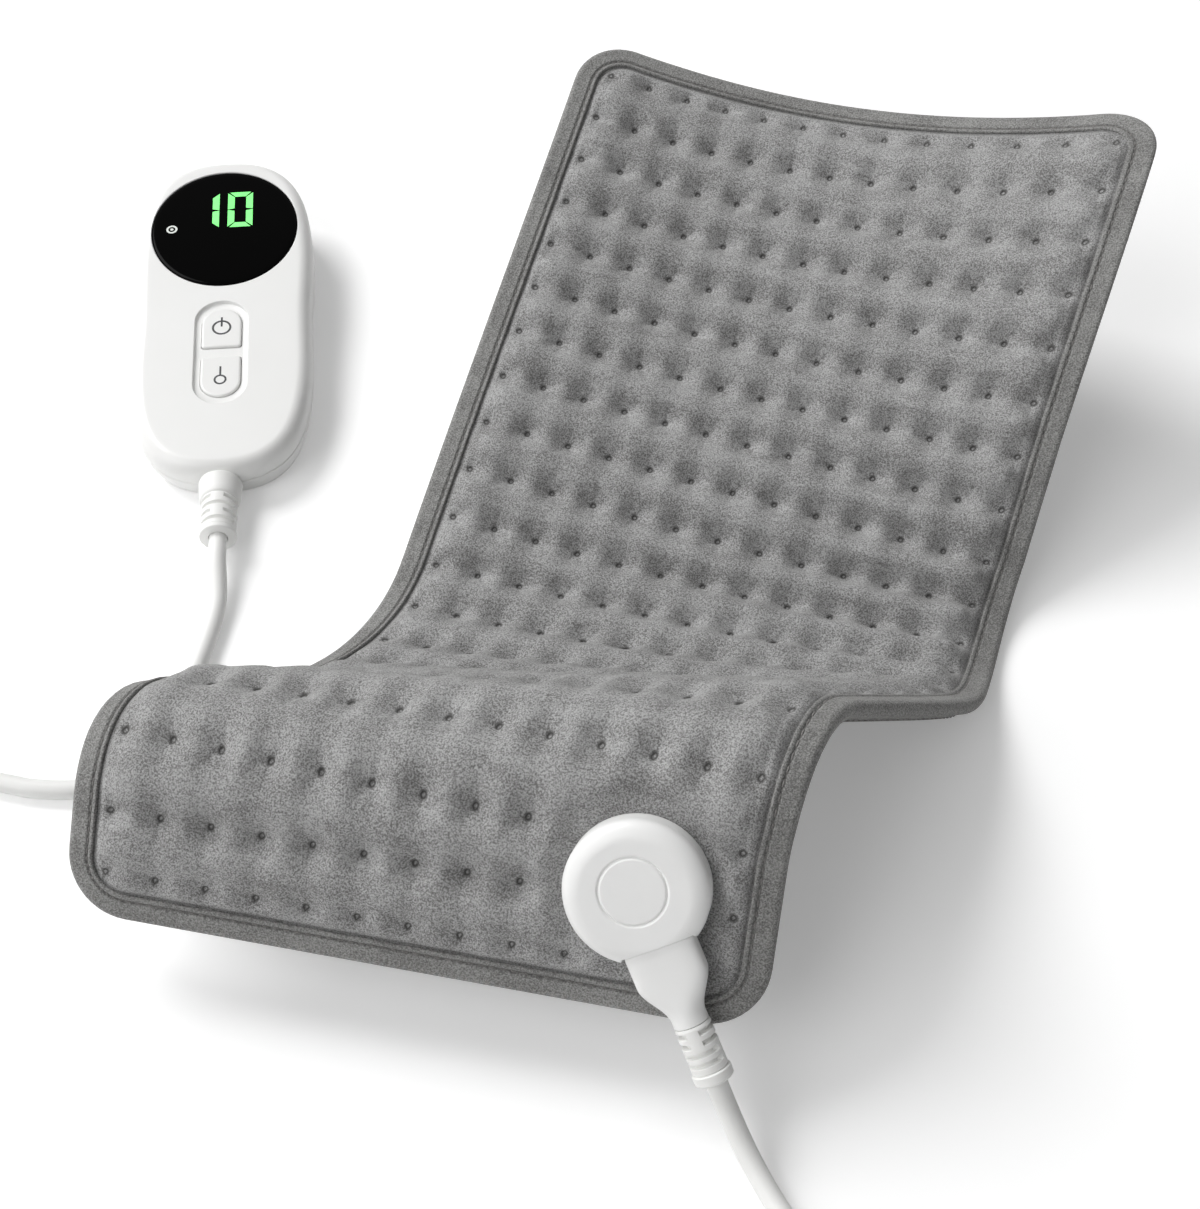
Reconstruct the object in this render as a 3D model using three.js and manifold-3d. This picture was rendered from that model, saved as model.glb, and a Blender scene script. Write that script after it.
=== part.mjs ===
// Heating pad with a hand control: a quilted pad lying in an S-curve, a round socket on its lip,
// a plug with a ribbed strain relief, one lead and a two-button controller. Millimetres, +Z up.
import * as THREE from 'three';
import { mergeVertices } from 'three/addons/utils/BufferGeometryUtils.js';
import Module from 'manifold-3d';

const wasm = await Module();
wasm.setup();

// Flat pad
const padWide = 260;
const padLong = 530;
const columns = 13;
const rows = 22;
const sideMargin = 16;
const endMargin = 18.25;
const cornerRadius = 24;
const columnPitch = (padWide - 2 * sideMargin) / (columns - 1);
const rowPitch = (padLong - 2 * endMargin) / (rows - 1);

// Layers, measured up from the underside
const layerGap = 0.3;
const backCloth = 2.2;
const feltThick = 1.5;
const wireRadius = 0.8;
const wireGap = 0.7;
const topCloth = 2;
const crownRise = 3.2;
const hemThick = 1.4;
const hemLift = 3;
const feltLow = backCloth + layerGap;
const feltHigh = feltLow + feltThick;
const wireHeight = feltHigh + wireGap + wireRadius;
const topLow = wireHeight + wireRadius + wireGap;
const topHigh = topLow + topCloth;
const hemSplit = hemLift + hemThick;
const hemHigh = hemSplit + layerGap + hemThick;

// Edge binding
const bindGap = 0.5;
const bindThick = 1.2;
const bindReach = 9;
const bindInset = bindGap + bindThick;

// Three folds: start on the centre line, slant, turn, length of the bend
const lipLift = 30;
const lipPitch = 50;
const backAt = 473;
const backLong = 172;
const valleyAt = 180;
const valleyLong = 106.5;
const crestAt = 60;
const crestLong = 51;
const folds = [
  { at: backAt, slant: -35, turn: -12.5, long: backLong },
  { at: valleyAt, slant: 16.5, turn: 74, long: valleyLong },
  { at: crestAt, slant: 8, turn: -98, long: crestLong },
];
const lipSway = 47;
const backBow = 33;
const backTwist = 34.5;
const valleySag = -0.7;
const valleyMid = 286;
const valleyReach = 150;
const swayTail = 70;
const flatDepth = 1;

// Heating wire: a run on every third column
const wireEvery = 3;

// Socket and plug, on the lip, the socket set off from the fourth wire run
const socketFromWire = 23;
const socketAcross = -padWide / 2 + sideMargin + 3 * wireEvery * columnPitch + socketFromWire;
const socketUp = 48;
const socketTurn = 30;
const socketRadius = 26;
const socketBaseHigh = 7;
const socketHigh = 14;
const ringRadius = 12.6;
const ringWide = 1.1;
const ringDeep = 0.8;
const fitGap = 0.3;
const plugAxisHigh = 7.15;
const plugFace = 20;
const plugLong = 30;
const plugHalfWide = 13;
const plugHalfHigh = 6;
const neckRadius = 6.4;
const shoulderFrom = 0.25;
const shoulderLong = 0.65;
const noseLong = 9;
const noseGrip = 6;
const noseHalfWide = 9.6;
const noseHalfHigh = 2.9;
const pinRadius = 1.2;
const pinSpread = 5;
const sleeveWall = 0.8;
const reliefLong = 22;
const reliefRadius = 7.6;
const reliefTip = 6.4;
const ribCount = 5;

// Lead
const leadRadius = 4;
const leadBore = leadRadius + fitGap;
const leadInPlug = 5;
const leadInHandset = 30;

// Hand control, face frame: y runs from the lower end to the head, z = 0 on the face
const handLong = 204;
const handWide = 88;
const handTilt = 5;
const handLow = 22;
const handWall = 2.4;
const partLine = 11;
const faceRound = 8;
const handTurn = 16.5;
const handAt = [-228, 330];
const lensHalfWide = 35.7;
const lensHalfLong = 39.5;
const lensFromHead = 50;
const lensThick = 2;
const lensLedge = 4;
const moduleHalf = 22;
const moduleUp = 16;
const trayWide = 25;
const trayLong = 64.6;
const trayGap = 10.6;
const trayAt = handLong - lensFromHead - lensHalfLong - trayGap - trayLong / 2;
const trayDeep = 1.6;
const trayFloor = 2.2;
const buttonWide = 18.8;
const buttonLong = 24.6;
const buttonSplit = 30.8;
const buttonRise = 1.2;
const buttonTravel = 0.8;
const flangeThick = 1.2;
const flangeOut = 1.4;
const boardThick = 1.6;
const boardInset = 6;
const switchSide = 6;
const switchHigh = 2.6;
const plungerRadius = 1.7;
const postRadius = 3.2;
const screwRadius = 1.15;
const screwHead = 2.5;
const screwHeadHigh = 1.5;
const glandCollar = 9.9;
const glandCollarLong = 11.5;
const glandNeck = 6.2;
const glandGrip = 1.2;
const glandRadius = 8.8;
const glandTip = 7.2;
const glandLong = 22;
const glandFlange = 2;

const rad = THREE.MathUtils.degToRad;
const smooth = (t) => THREE.MathUtils.smoothstep(t, 0, 1);
const sum = (list) => list.reduce((a, b) => a + b, 0);

// Geometry helpers
function plain(geometry) {
  const g = geometry.clone();
  g.deleteAttribute('normal');
  g.deleteAttribute('uv');
  return mergeVertices(g, 1e-4);
}

function signedVolume(g) {
  const p = g.attributes.position;
  const k = g.index.array;
  const a = new THREE.Vector3();
  const b = new THREE.Vector3();
  const c = new THREE.Vector3();
  let total = 0;
  for (let i = 0; i < k.length; i += 3) {
    a.fromBufferAttribute(p, k[i]);
    b.fromBufferAttribute(p, k[i + 1]);
    c.fromBufferAttribute(p, k[i + 2]);
    total += a.dot(b.cross(c)) / 6;
  }
  return total;
}

function outward(geometry) {
  const g = plain(geometry);
  if (signedVolume(g) < 0) {
    const k = g.index.array;
    for (let i = 0; i < k.length; i += 3) {
      [k[i + 1], k[i + 2]] = [k[i + 2], k[i + 1]];
    }
  }
  return g;
}

function solid(geometry) {
  const g = outward(geometry);
  const mesh = new wasm.Mesh({
    numProp: 3,
    vertProperties: new Float32Array(g.attributes.position.array),
    triVerts: new Uint32Array(g.index.array),
  });
  return new wasm.Manifold(mesh);
}

function shape(manifold) {
  const mesh = manifold.getMesh();
  const g = new THREE.BufferGeometry();
  g.setAttribute('position', new THREE.BufferAttribute(new Float32Array(mesh.vertProperties), 3));
  g.setIndex(Array.from(mesh.triVerts));
  return g;
}

function without(base, ...tools) {
  let body = solid(base);
  for (const tool of tools) body = body.subtract(solid(tool));
  return shape(body);
}

function joined(...list) {
  let body = solid(list[0]);
  for (const other of list.slice(1)) body = body.add(solid(other));
  return shape(body);
}

function common(a, b) {
  return shape(solid(a).intersect(solid(b)));
}

function box(x0, x1, y0, y1, z0, z1) {
  const g = new THREE.BoxGeometry(x1 - x0, y1 - y0, z1 - z0);
  return g.translate((x0 + x1) / 2, (y0 + y1) / 2, (z0 + z1) / 2);
}

function rodZ(radius, x, y, z0, z1, sides = 20) {
  const g = new THREE.CylinderGeometry(radius, radius, z1 - z0, sides);
  return g.rotateX(Math.PI / 2).translate(x, y, (z0 + z1) / 2);
}

function rodX(radius, x0, x1, y, z, sides = 20) {
  const g = new THREE.CylinderGeometry(radius, radius, x1 - x0, sides);
  return g.rotateZ(Math.PI / 2).translate((x0 + x1) / 2, y, z);
}

// Closed outline (list of [x, y]) carried through a list of [inset, z] steps and capped at both ends
function loft(outline, steps) {
  const n = outline.length;
  const normals = outline.map((p, i) => {
    const a = outline[(i + n - 1) % n];
    const b = outline[(i + 1) % n];
    const d = new THREE.Vector2(b[0] - a[0], b[1] - a[1]).normalize();
    return [d.y, -d.x];
  });
  const pos = [];
  const idx = [];
  for (const [inset, z] of steps) {
    outline.forEach((p, i) => pos.push(p[0] - normals[i][0] * inset, p[1] - normals[i][1] * inset, z));
  }
  for (let s = 0; s + 1 < steps.length; s += 1) {
    for (let i = 0; i < n; i += 1) {
      const a = s * n + i;
      const b = s * n + (i + 1) % n;
      idx.push(a, b, b + n, a, b + n, a + n);
    }
  }
  const at = (k) => new THREE.Vector2(pos[3 * k], pos[3 * k + 1]);
  const ring = (s) => outline.map((p, i) => at(s * n + i));
  const last = steps.length - 1;
  for (const [a, b, c] of THREE.ShapeUtils.triangulateShape(ring(0), [])) idx.push(c, b, a);
  for (const [a, b, c] of THREE.ShapeUtils.triangulateShape(ring(last), [])) {
    idx.push(last * n + a, last * n + b, last * n + c);
  }
  const g = new THREE.BufferGeometry();
  g.setAttribute('position', new THREE.Float32BufferAttribute(pos, 3));
  g.setIndex(idx);
  return g;
}

// Ring turned round the X axis from a closed profile of [x, radius]
function turnedX(profile, sides = 24) {
  const pts = [...profile, profile[0]].map(([x, r]) => new THREE.Vector2(r, x));
  return new THREE.LatheGeometry(pts, sides).rotateZ(-Math.PI / 2);
}

function ellipse(halfX, halfY, cx, cy, n = 32) {
  return Array.from({ length: n }, (_, i) => {
    const t = (2 * Math.PI * i) / n;
    return [cx + halfX * Math.cos(t), cy + halfY * Math.sin(t)];
  });
}

function stadium(wide, long, cy, n = 8) {
  const r = wide / 2;
  const d = long / 2 - r;
  const pts = [];
  for (const s of [1, -1]) {
    for (let i = 0; i <= n; i += 1) {
      const a = (Math.PI * i) / n;
      pts.push([s * r * Math.cos(a), cy + s * (d + r * Math.sin(a))]);
    }
  }
  return pts;
}

function material(color, roughness, metalness = 0) {
  return new THREE.MeshStandardMaterial({ color, roughness, metalness });
}

const object = new THREE.Group();
object.name = 'heating_pad_with_controller';
const stage = new THREE.Group();
object.add(stage);

function add(group, name, geometry, look) {
  const g = outward(geometry);
  g.computeVertexNormals();
  const mesh = new THREE.Mesh(g, look);
  mesh.name = name;
  group.add(mesh);
  return mesh;
}

const plush = () => material(0x8b8a88, 0.95);
const underCloth = () => material(0x5f5e5d, 0.95);
const tape = () => material(0x6f6e6d, 0.85);
const white = () => material(0xf1f1ef, 0.38);
const softWhite = () => material(0xececea, 0.55);
const brass = () => material(0xc9a24a, 0.35, 1);
const steel = () => material(0xb9bcc0, 0.35, 1);

// Pad surface: a flat point (u across, v from the front edge, h up), folded about each slanted line in turn
function folded(u, v, h) {
  const far = smooth((v - padLong / 2) / (padLong / 2));
  const near = 1 - smooth(Math.abs(v - valleyMid) / valleyReach);
  const across = u / (padWide / 2);
  let x = u;
  let y = v;
  let z = h + (backBow * far + valleySag * near) * (across * across - 0.33) + backTwist * across * far;
  for (const { at, slant, turn, long } of folds) {
    const c = Math.cos(rad(slant));
    const s = Math.sin(rad(slant));
    const past = -s * u + c * (v - at);
    const along = c * x + s * (y - at);
    const over = -s * x + c * (y - at);
    const bend = long / rad(turn);
    const angle = THREE.MathUtils.clamp(past, 0, long) / bend;
    const rest = past > long ? over - long : Math.min(past, 0) < 0 ? over : 0;
    const reach = bend * Math.sin(angle) + rest * Math.cos(angle) - z * Math.sin(angle);
    z = bend * (1 - Math.cos(angle)) + rest * Math.sin(angle) + z * Math.cos(angle);
    x = along * c - reach * s;
    y = at + along * s + reach * c;
  }
  const crest = folds[2];
  const valley = folds[1];
  const sway = lipSway * (1 - smooth((v - crest.at) / (valley.at + swayTail - crest.at)));
  const p = rad(lipPitch);
  const back = y * Math.cos(p) - z * Math.sin(p);
  return new THREE.Vector3(x - sway, back, lipLift + y * Math.sin(p) + z * Math.cos(p));
}

// Quilting lattice, with a middle line in each row of the crest fold
const uLines = [-padWide / 2];
for (let i = 0; i < columns; i += 1) uLines.push(-padWide / 2 + sideMargin + i * columnPitch);
uLines.push(padWide / 2);
const vLines = [0];
const tuftRow = [false];
for (let j = 0; j < rows; j += 1) {
  const v = endMargin + j * rowPitch;
  vLines.push(v);
  tuftRow.push(true);
  const inCrest = v + rowPitch > folds[2].at && v < folds[2].at + folds[2].long;
  if (inCrest && j + 1 < rows) {
    vLines.push(v + rowPitch / 2);
    tuftRow.push(false);
  }
}
vLines.push(padLong);
tuftRow.push(false);
const uLast = uLines.length - 1;
const vLast = vLines.length - 1;

// Lattice point, its border moved in by the binding and round the corners
function flatPoint(i, j) {
  const halfU = padWide / 2 - bindInset;
  const lowV = bindInset;
  const highV = padLong - bindInset;
  let u = THREE.MathUtils.clamp(uLines[i], -halfU, halfU);
  let v = THREE.MathUtils.clamp(vLines[j], lowV, highV);
  const border = i === 0 || j === 0 || i === uLast || j === vLast;
  const r = cornerRadius - bindInset;
  const cu = Math.sign(u) * (halfU - r);
  const cv = v < padLong / 2 ? lowV + r : highV - r;
  const du = u - cu;
  const dv = v - cv;
  const inCorner = Math.abs(u) > halfU - r && (v < lowV + r || v > highV - r);
  if (border && inCorner) {
    const d = Math.hypot(du, dv);
    u = cu + (du / d) * r;
    v = cv + (dv / d) * r;
  }
  return [u, v, border];
}

let lowest = Infinity;
for (let i = 0; i <= uLast; i += 1) {
  for (let j = 0; j <= vLast; j += 1) {
    const [u, v] = flatPoint(i, j);
    lowest = Math.min(lowest, folded(u, v, 0).z);
  }
}
const settle = -lowest - flatDepth;

function padPoint(u, v, h) {
  const p = folded(u, v, h);
  p.z = Math.max(p.z + settle, 0);
  return p;
}

const socketCentre = [socketAcross, socketUp];
const nearSocket = (u, v) => Math.hypot(u - socketAcross, v - socketUp) < socketRadius + rowPitch / 2;

// One layer of the pad between two heights, quilted into crowns where crown is set
function layer(i0, i1, j0, j1, low, high, crown) {
  const pos = [];
  const idx = [];
  const put = (p) => pos.push(p.x, p.y, p.z) / 3 - 1;
  const bottom = new Map();
  const top = new Map();
  const key = (i, j) => i * 1000 + j;
  for (let i = i0; i <= i1; i += 1) {
    for (let j = j0; j <= j1; j += 1) {
      const [u, v, border] = flatPoint(i, j);
      bottom.set(key(i, j), put(padPoint(u, v, low(border))));
      const inside = !border && i > 1 && i < uLast - 1 && !tuftRow[j];
      const swell = crown && inside && !nearSocket(u, v) ? crown * 0.35 : 0;
      top.set(key(i, j), put(padPoint(u, v, high(border) + swell)));
    }
  }
  for (let i = i0; i < i1; i += 1) {
    for (let j = j0; j < j1; j += 1) {
      const ring = [key(i, j), key(i + 1, j), key(i + 1, j + 1), key(i, j + 1)];
      const flip = (i === 0 && j === vLast - 1) || (i === uLast - 1 && j === 0);
      const order = flip ? [1, 2, 3, 0] : [0, 1, 2, 3];
      const [a, b, c, d] = order.map((k) => bottom.get(ring[k]));
      idx.push(a, c, b, a, d, c);
      const [e, f, g, h] = order.map((k) => top.get(ring[k]));
      const inner = i > 0 && i < uLast - 1 && j > 0 && j < vLast - 1;
      const mid = [flatPoint(i, j), flatPoint(i + 1, j), flatPoint(i + 1, j + 1), flatPoint(i, j + 1)];
      const mu = sum(mid.map((m) => m[0])) / 4;
      const mv = sum(mid.map((m) => m[1])) / 4;
      if (crown && inner && !nearSocket(mu, mv)) {
        const rise = tuftRow[j] && tuftRow[j + 1] ? crown : crown * 0.7;
        const m = put(padPoint(mu, mv, high(false) + rise));
        idx.push(e, f, m, f, g, m, g, h, m, h, e, m);
      } else {
        idx.push(e, f, g, e, g, h);
      }
    }
  }
  const edge = [];
  for (let i = i0; i < i1; i += 1) edge.push(key(i, j0));
  for (let j = j0; j < j1; j += 1) edge.push(key(i1, j));
  for (let i = i1; i > i0; i -= 1) edge.push(key(i, j1));
  for (let j = j1; j > j0; j -= 1) edge.push(key(i0, j));
  edge.forEach((k, n) => {
    const next = edge[(n + 1) % edge.length];
    idx.push(bottom.get(k), bottom.get(next), top.get(next), bottom.get(k), top.get(next), top.get(k));
  });
  const geometry = new THREE.BufferGeometry();
  geometry.setAttribute('position', new THREE.Float32BufferAttribute(pos, 3));
  geometry.setIndex(idx);
  return geometry;
}

// Socket frame on the flat lip: x along the plug, z off the pad
const lip = rad(lipPitch);
const lipNormal = new THREE.Vector3(0, -Math.sin(lip), Math.cos(lip));
const lipDown = new THREE.Vector3(0, -Math.cos(lip), -Math.sin(lip));
const plugAxis = lipDown.clone().multiplyScalar(Math.cos(rad(socketTurn)));
plugAxis.addScaledVector(new THREE.Vector3(1, 0, 0), Math.sin(rad(socketTurn)));
const plugSide = lipNormal.clone().cross(plugAxis);
const socketOrigin = padPoint(socketCentre[0], socketCentre[1], topHigh);
const socketFrame = new THREE.Matrix4().makeBasis(plugAxis, plugSide, lipNormal).setPosition(socketOrigin);
const inSocket = (x, y, z) => new THREE.Vector3(x, y, z).applyMatrix4(socketFrame);

// Screws through the pad, clear of the wire runs
const screwRing = socketRadius * 0.5;
const screwSpots = [105, 180, 255].map((a) => [screwRing * Math.cos(rad(a)), screwRing * Math.sin(rad(a))]);
const clampScrew = 1.5;
const plateThick = 1.6;
const plateLow = -topHigh - layerGap - plateThick;
const screwHoles = screwSpots.map(([x, y]) => {
  return rodZ(clampScrew + fitGap, x, y, plateLow - 4, 2, 12).applyMatrix4(socketFrame);
});

// Pad layers
const hemOr = (hem, field) => (border) => (border ? hem : field);
const topUnder = hemOr(hemSplit + layerGap, topLow);
const coverTop = layer(0, uLast, 0, vLast, topUnder, hemOr(hemHigh, topHigh), crownRise);
const coverBack = layer(0, uLast, 0, vLast, hemOr(hemLift, 0), hemOr(hemSplit, backCloth), 0);
const felt = layer(1, uLast - 1, 1, vLast - 1, () => feltLow, () => feltHigh, 0);
add(stage, 'pad_top_cover', without(coverTop, ...screwHoles), plush());
add(stage, 'pad_bottom_cover', without(coverBack, ...screwHoles), underCloth());
add(stage, 'heating_felt', without(felt, ...screwHoles), material(0xd8d6cf, 0.95));

// Heating wire: its runs are joined by turns at alternate ends
function wirePath() {
  const path = [];
  const firstRow = 2;
  const lastRow = vLast - 2;
  let up = true;
  for (let i = 1; i < uLast; i += wireEvery) {
    const run = [];
    for (let j = firstRow; j <= lastRow; j += 1) run.push([uLines[i], vLines[j]]);
    if (!up) run.reverse();
    path.push(...run);
    if (i + wireEvery < uLast) {
      const turnRow = up ? (vLines[lastRow] + vLines[vLast - 1]) / 2 : (vLines[firstRow] + vLines[1]) / 2;
      path.push([uLines[i] + columnPitch * 0.3, turnRow]);
      for (let k = 1; k < wireEvery; k += 1) path.push([uLines[i + k], turnRow]);
      path.push([uLines[i + wireEvery] - columnPitch * 0.3, turnRow]);
    }
    up = !up;
  }
  return path.map(([u, v]) => padPoint(u, v, wireHeight));
}

function wireTube(path, radius, sides) {
  const pos = [];
  const idx = [];
  const tangents = path.map((p, i) => {
    const a = path[Math.max(i - 1, 0)];
    const b = path[Math.min(i + 1, path.length - 1)];
    return b.clone().sub(a).normalize();
  });
  let side = new THREE.Vector3(1, 0, 0);
  path.forEach((p, i) => {
    side = side.addScaledVector(tangents[i], -side.dot(tangents[i])).normalize();
    const up = tangents[i].clone().cross(side);
    for (let k = 0; k < sides; k += 1) {
      const t = (2 * Math.PI * k) / sides;
      const q = p.clone().addScaledVector(side, radius * Math.cos(t));
      q.addScaledVector(up, radius * Math.sin(t));
      pos.push(q.x, q.y, q.z);
    }
    side = side.clone();
  });
  for (let i = 0; i + 1 < path.length; i += 1) {
    for (let k = 0; k < sides; k += 1) {
      const a = i * sides + k;
      const b = i * sides + (k + 1) % sides;
      idx.push(a, b, b + sides, a, b + sides, a + sides);
    }
  }
  const end = (path.length - 1) * sides;
  for (let k = 1; k + 1 < sides; k += 1) idx.push(0, k + 1, k, end, end + k, end + k + 1);
  const g = new THREE.BufferGeometry();
  g.setAttribute('position', new THREE.Float32BufferAttribute(pos, 3));
  g.setIndex(idx);
  return g;
}
add(stage, 'heating_wire', wireTube(wirePath(), wireRadius, 6), material(0xb5553a, 0.6));

// Binding: a folded tape, its section carried from border point to border point
function binding() {
  const loop = [];
  for (let i = 0; i < uLast; i += 1) loop.push([i, 0]);
  for (let j = 0; j < vLast; j += 1) loop.push([uLast, j]);
  for (let i = uLast; i > 0; i -= 1) loop.push([i, vLast]);
  for (let j = vLast; j > 0; j -= 1) loop.push([0, j]);
  const pos = [];
  const idx = [];
  const count = 8;
  for (const [i, j] of loop) {
    const [u, v] = flatPoint(i, j);
    const ni = THREE.MathUtils.clamp(i, 1, uLast - 1);
    const nj = THREE.MathUtils.clamp(j, 1, vLast - 1);
    const [iu, iv] = flatPoint(ni, nj);
    const d = Math.hypot(u - iu, v - iv);
    const at = (t) => [u + ((iu - u) * t) / d, v + ((iv - v) * t) / d];
    const share = bindReach / d;
    const backIn = hemLift * (1 - share);
    const topIn = hemHigh + (topHigh - hemHigh) * share;
    const section = [
      [bindReach, backIn - bindGap - bindThick],
      [-bindInset, hemLift - bindGap - bindThick],
      [-bindInset, hemHigh + bindGap + bindThick],
      [bindReach, topIn + bindGap + bindThick],
      [bindReach, topIn + bindGap],
      [-bindGap, hemHigh + bindGap],
      [-bindGap, hemLift - bindGap],
      [bindReach, backIn - bindGap],
    ];
    for (const [t, h] of section) {
      const p = padPoint(...at(t), h);
      pos.push(p.x, p.y, p.z);
    }
  }
  const n = loop.length;
  for (let k = 0; k < n; k += 1) {
    for (let s = 0; s < count; s += 1) {
      const a = k * count + s;
      const b = k * count + (s + 1) % count;
      const c = ((k + 1) % n) * count + (s + 1) % count;
      const e = ((k + 1) % n) * count + s;
      idx.push(a, e, c, a, c, b);
    }
  }
  const g = new THREE.BufferGeometry();
  g.setAttribute('position', new THREE.Float32BufferAttribute(pos, 3));
  g.setIndex(idx);
  return g;
}
add(stage, 'edge_binding', binding(), tape());

// Socket
const socket = new THREE.Group();
socket.applyMatrix4(socketFrame);
stage.add(socket);
const mouth = plugFace + fitGap;
const cavityBack = mouth - noseLong - 3;
const cavityHalf = noseHalfWide + fitGap + 0.4;
const cavityLow = plugAxisHigh - noseHalfHigh - fitGap - 0.2;
const cavityHigh = plugAxisHigh + noseHalfHigh + fitGap + 0.2;
const blockLong = 8;
const blockBack = cavityBack - blockLong;
const discSides = 40;
const disc = ellipse(socketRadius, socketRadius, 0, 0, discSides);
const notchHalf = plugHalfWide + fitGap;
const plugNotch = box(plugFace, socketRadius + 9, -notchHalf, notchHalf, -1, socketHigh + 1);
const cavity = box(blockBack - fitGap, socketRadius, -cavityHalf, cavityHalf, cavityLow, cavityHigh);
const baseSteps = [[1.2, layerGap], [0, layerGap + 1.2], [0, socketBaseHigh]];
const capSteps = [[0, socketBaseHigh + 0.2], [0, socketHigh - 5], [1, socketHigh - 2.4]];
capSteps.push([3.4, socketHigh - 0.6], [7, socketHigh]);
const ringOut = ellipse(ringRadius, ringRadius, -1.5, 0, 32);
const ringIn = ellipse(ringRadius - ringWide, ringRadius - ringWide, -1.5, 0, 32);
const groove = without(
  loft(ringOut, [[0, socketHigh - ringDeep], [0, socketHigh + 1]]),
  loft(ringIn, [[0, socketHigh - ringDeep - 1], [0, socketHigh + 2]]),
);
const screwTop = socketBaseHigh - 1.5;
const baseBores = screwSpots.map(([x, y]) => rodZ(clampScrew + 0.15, x, y, -1, screwTop, 12));
add(socket, 'socket_base', without(loft(disc, baseSteps), plugNotch, cavity, ...baseBores), white());
add(socket, 'socket_cap', without(loft(disc, capSteps), plugNotch, cavity, groove), white());

const blockHalf = cavityHalf - 0.3;
const pinHoles = [-1, 1].map((s) => {
  return rodX(pinRadius + 0.1, blockBack - 1, cavityBack + 1, s * pinSpread, plugAxisHigh, 12);
});
const block = box(blockBack, cavityBack, -blockHalf, blockHalf, cavityLow + 0.3, cavityHigh - 0.3);
add(socket, 'socket_contact_block', without(block, ...pinHoles), material(0xd9d8d2, 0.6));
const pin = (s) => rodX(pinRadius, blockBack + 1, mouth - 2.5, s * pinSpread, plugAxisHigh, 12);
add(socket, 'socket_pin_left', pin(1), brass());
add(socket, 'socket_pin_right', pin(-1), brass());

const plateRadius = screwRing + 3.8;
const plateDisc = ellipse(plateRadius, plateRadius, 0, 0, 28);
const plateHigh = plateLow + plateThick;
const plateHoles = screwSpots.map(([x, y]) => rodZ(clampScrew + 0.2, x, y, plateLow - 1, plateHigh + 1, 12));
const plate = loft(plateDisc, [[0.5, plateLow], [0, plateLow + 0.5], [0, plateHigh]]);
add(socket, 'socket_back_plate', without(plate, ...plateHoles), softWhite());
screwSpots.forEach(([x, y], n) => {
  const shank = rodZ(clampScrew, x, y, plateLow - 0.4, screwTop - 0.5, 12);
  const head = rodZ(clampScrew + 1.4, x, y, plateLow - 1.7, plateLow - 0.2, 16);
  add(socket, `socket_screw_${n + 1}`, joined(shank, head), steel());
});

// Plug: two halves lofted from the wide mouth to the round neck, split on the axis
const plugEnd = plugFace + fitGap + plugLong;
function plugLoft() {
  const steps = 9;
  const n = 28;
  const pos = [];
  const idx = [];
  for (let s = 0; s <= steps; s += 1) {
    const t = s / steps;
    const x = plugFace + fitGap + plugLong * t;
    const ease = smooth((t - shoulderFrom) / shoulderLong);
    const halfY = THREE.MathUtils.lerp(plugHalfWide, neckRadius, ease);
    const halfZ = THREE.MathUtils.lerp(plugHalfHigh, neckRadius, ease);
    const power = THREE.MathUtils.lerp(0.55, 1, ease);
    for (let k = 0; k < n; k += 1) {
      const a = (2 * Math.PI * k) / n;
      const c = Math.cos(a);
      const w = Math.sin(a);
      const y = halfY * Math.sign(c) * Math.abs(c) ** power;
      pos.push(x, y, plugAxisHigh + halfZ * Math.sign(w) * Math.abs(w) ** power);
    }
  }
  for (let s = 0; s < steps; s += 1) {
    for (let k = 0; k < n; k += 1) {
      const a = s * n + k;
      const b = s * n + (k + 1) % n;
      idx.push(a, b, b + n, a, b + n, a + n);
    }
  }
  for (let k = 1; k + 1 < n; k += 1) idx.push(0, k + 1, k, steps * n, steps * n + k, steps * n + k + 1);
  const g = new THREE.BufferGeometry();
  g.setAttribute('position', new THREE.Float32BufferAttribute(pos, 3));
  g.setIndex(idx);
  return g;
}
const noseStart = plugFace + fitGap - noseLong;
const noseEnd = plugFace + fitGap + noseGrip;
const splitGap = 0.1;
const reliefStart = plugEnd - 5;
const wideBlock = plugHalfWide + 2;
const highBlock = 2 * neckRadius + fitGap;
const plugPocket = box(plugFace - 1, noseEnd + fitGap, -noseHalfWide - fitGap, noseHalfWide + fitGap,
  plugAxisHigh - noseHalfHigh - fitGap, plugAxisHigh + noseHalfHigh + fitGap);
const reliefPocket = rodX(leadBore + 1.1 + 0.15, reliefStart - 0.3, plugEnd + 1, 0, plugAxisHigh, 24);
const corePocket = rodX(leadBore, noseEnd + 1.5, plugEnd + 1, 0, plugAxisHigh, 20);
const plugBody = without(plugLoft(), plugPocket, reliefPocket, corePocket);
const halfBlock = box(0, plugEnd + 5, -wideBlock, wideBlock, splitGap, highBlock);
const lowerBlock = halfBlock.clone().rotateX(Math.PI).translate(0, 0, plugAxisHigh);
const upperBlock = halfBlock.clone().translate(0, 0, plugAxisHigh);
add(socket, 'plug_lower_half', common(plugBody, lowerBlock), white());
add(socket, 'plug_upper_half', common(plugBody, upperBlock), white());
const sleeveOut = pinRadius + fitGap + sleeveWall;
const noseBores = [-1, 1].map((s) => {
  return rodX(sleeveOut + 0.1, noseStart - 1, noseEnd - 1.2, s * pinSpread, plugAxisHigh, 16);
});
const noseLow = plugAxisHigh - noseHalfHigh;
const nose = box(noseStart, noseEnd, -noseHalfWide, noseHalfWide, noseLow, noseLow + 2 * noseHalfHigh);
add(socket, 'plug_nose', without(nose, ...noseBores), softWhite());
const sleeve = (s) => {
  const inner = pinRadius + fitGap;
  const from = noseStart + 0.3;
  const to = noseEnd - 1.5;
  const profile = [[from, inner], [to, inner], [to, sleeveOut], [from, sleeveOut]];
  return turnedX(profile, 16).translate(0, s * pinSpread, plugAxisHigh);
};
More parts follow.
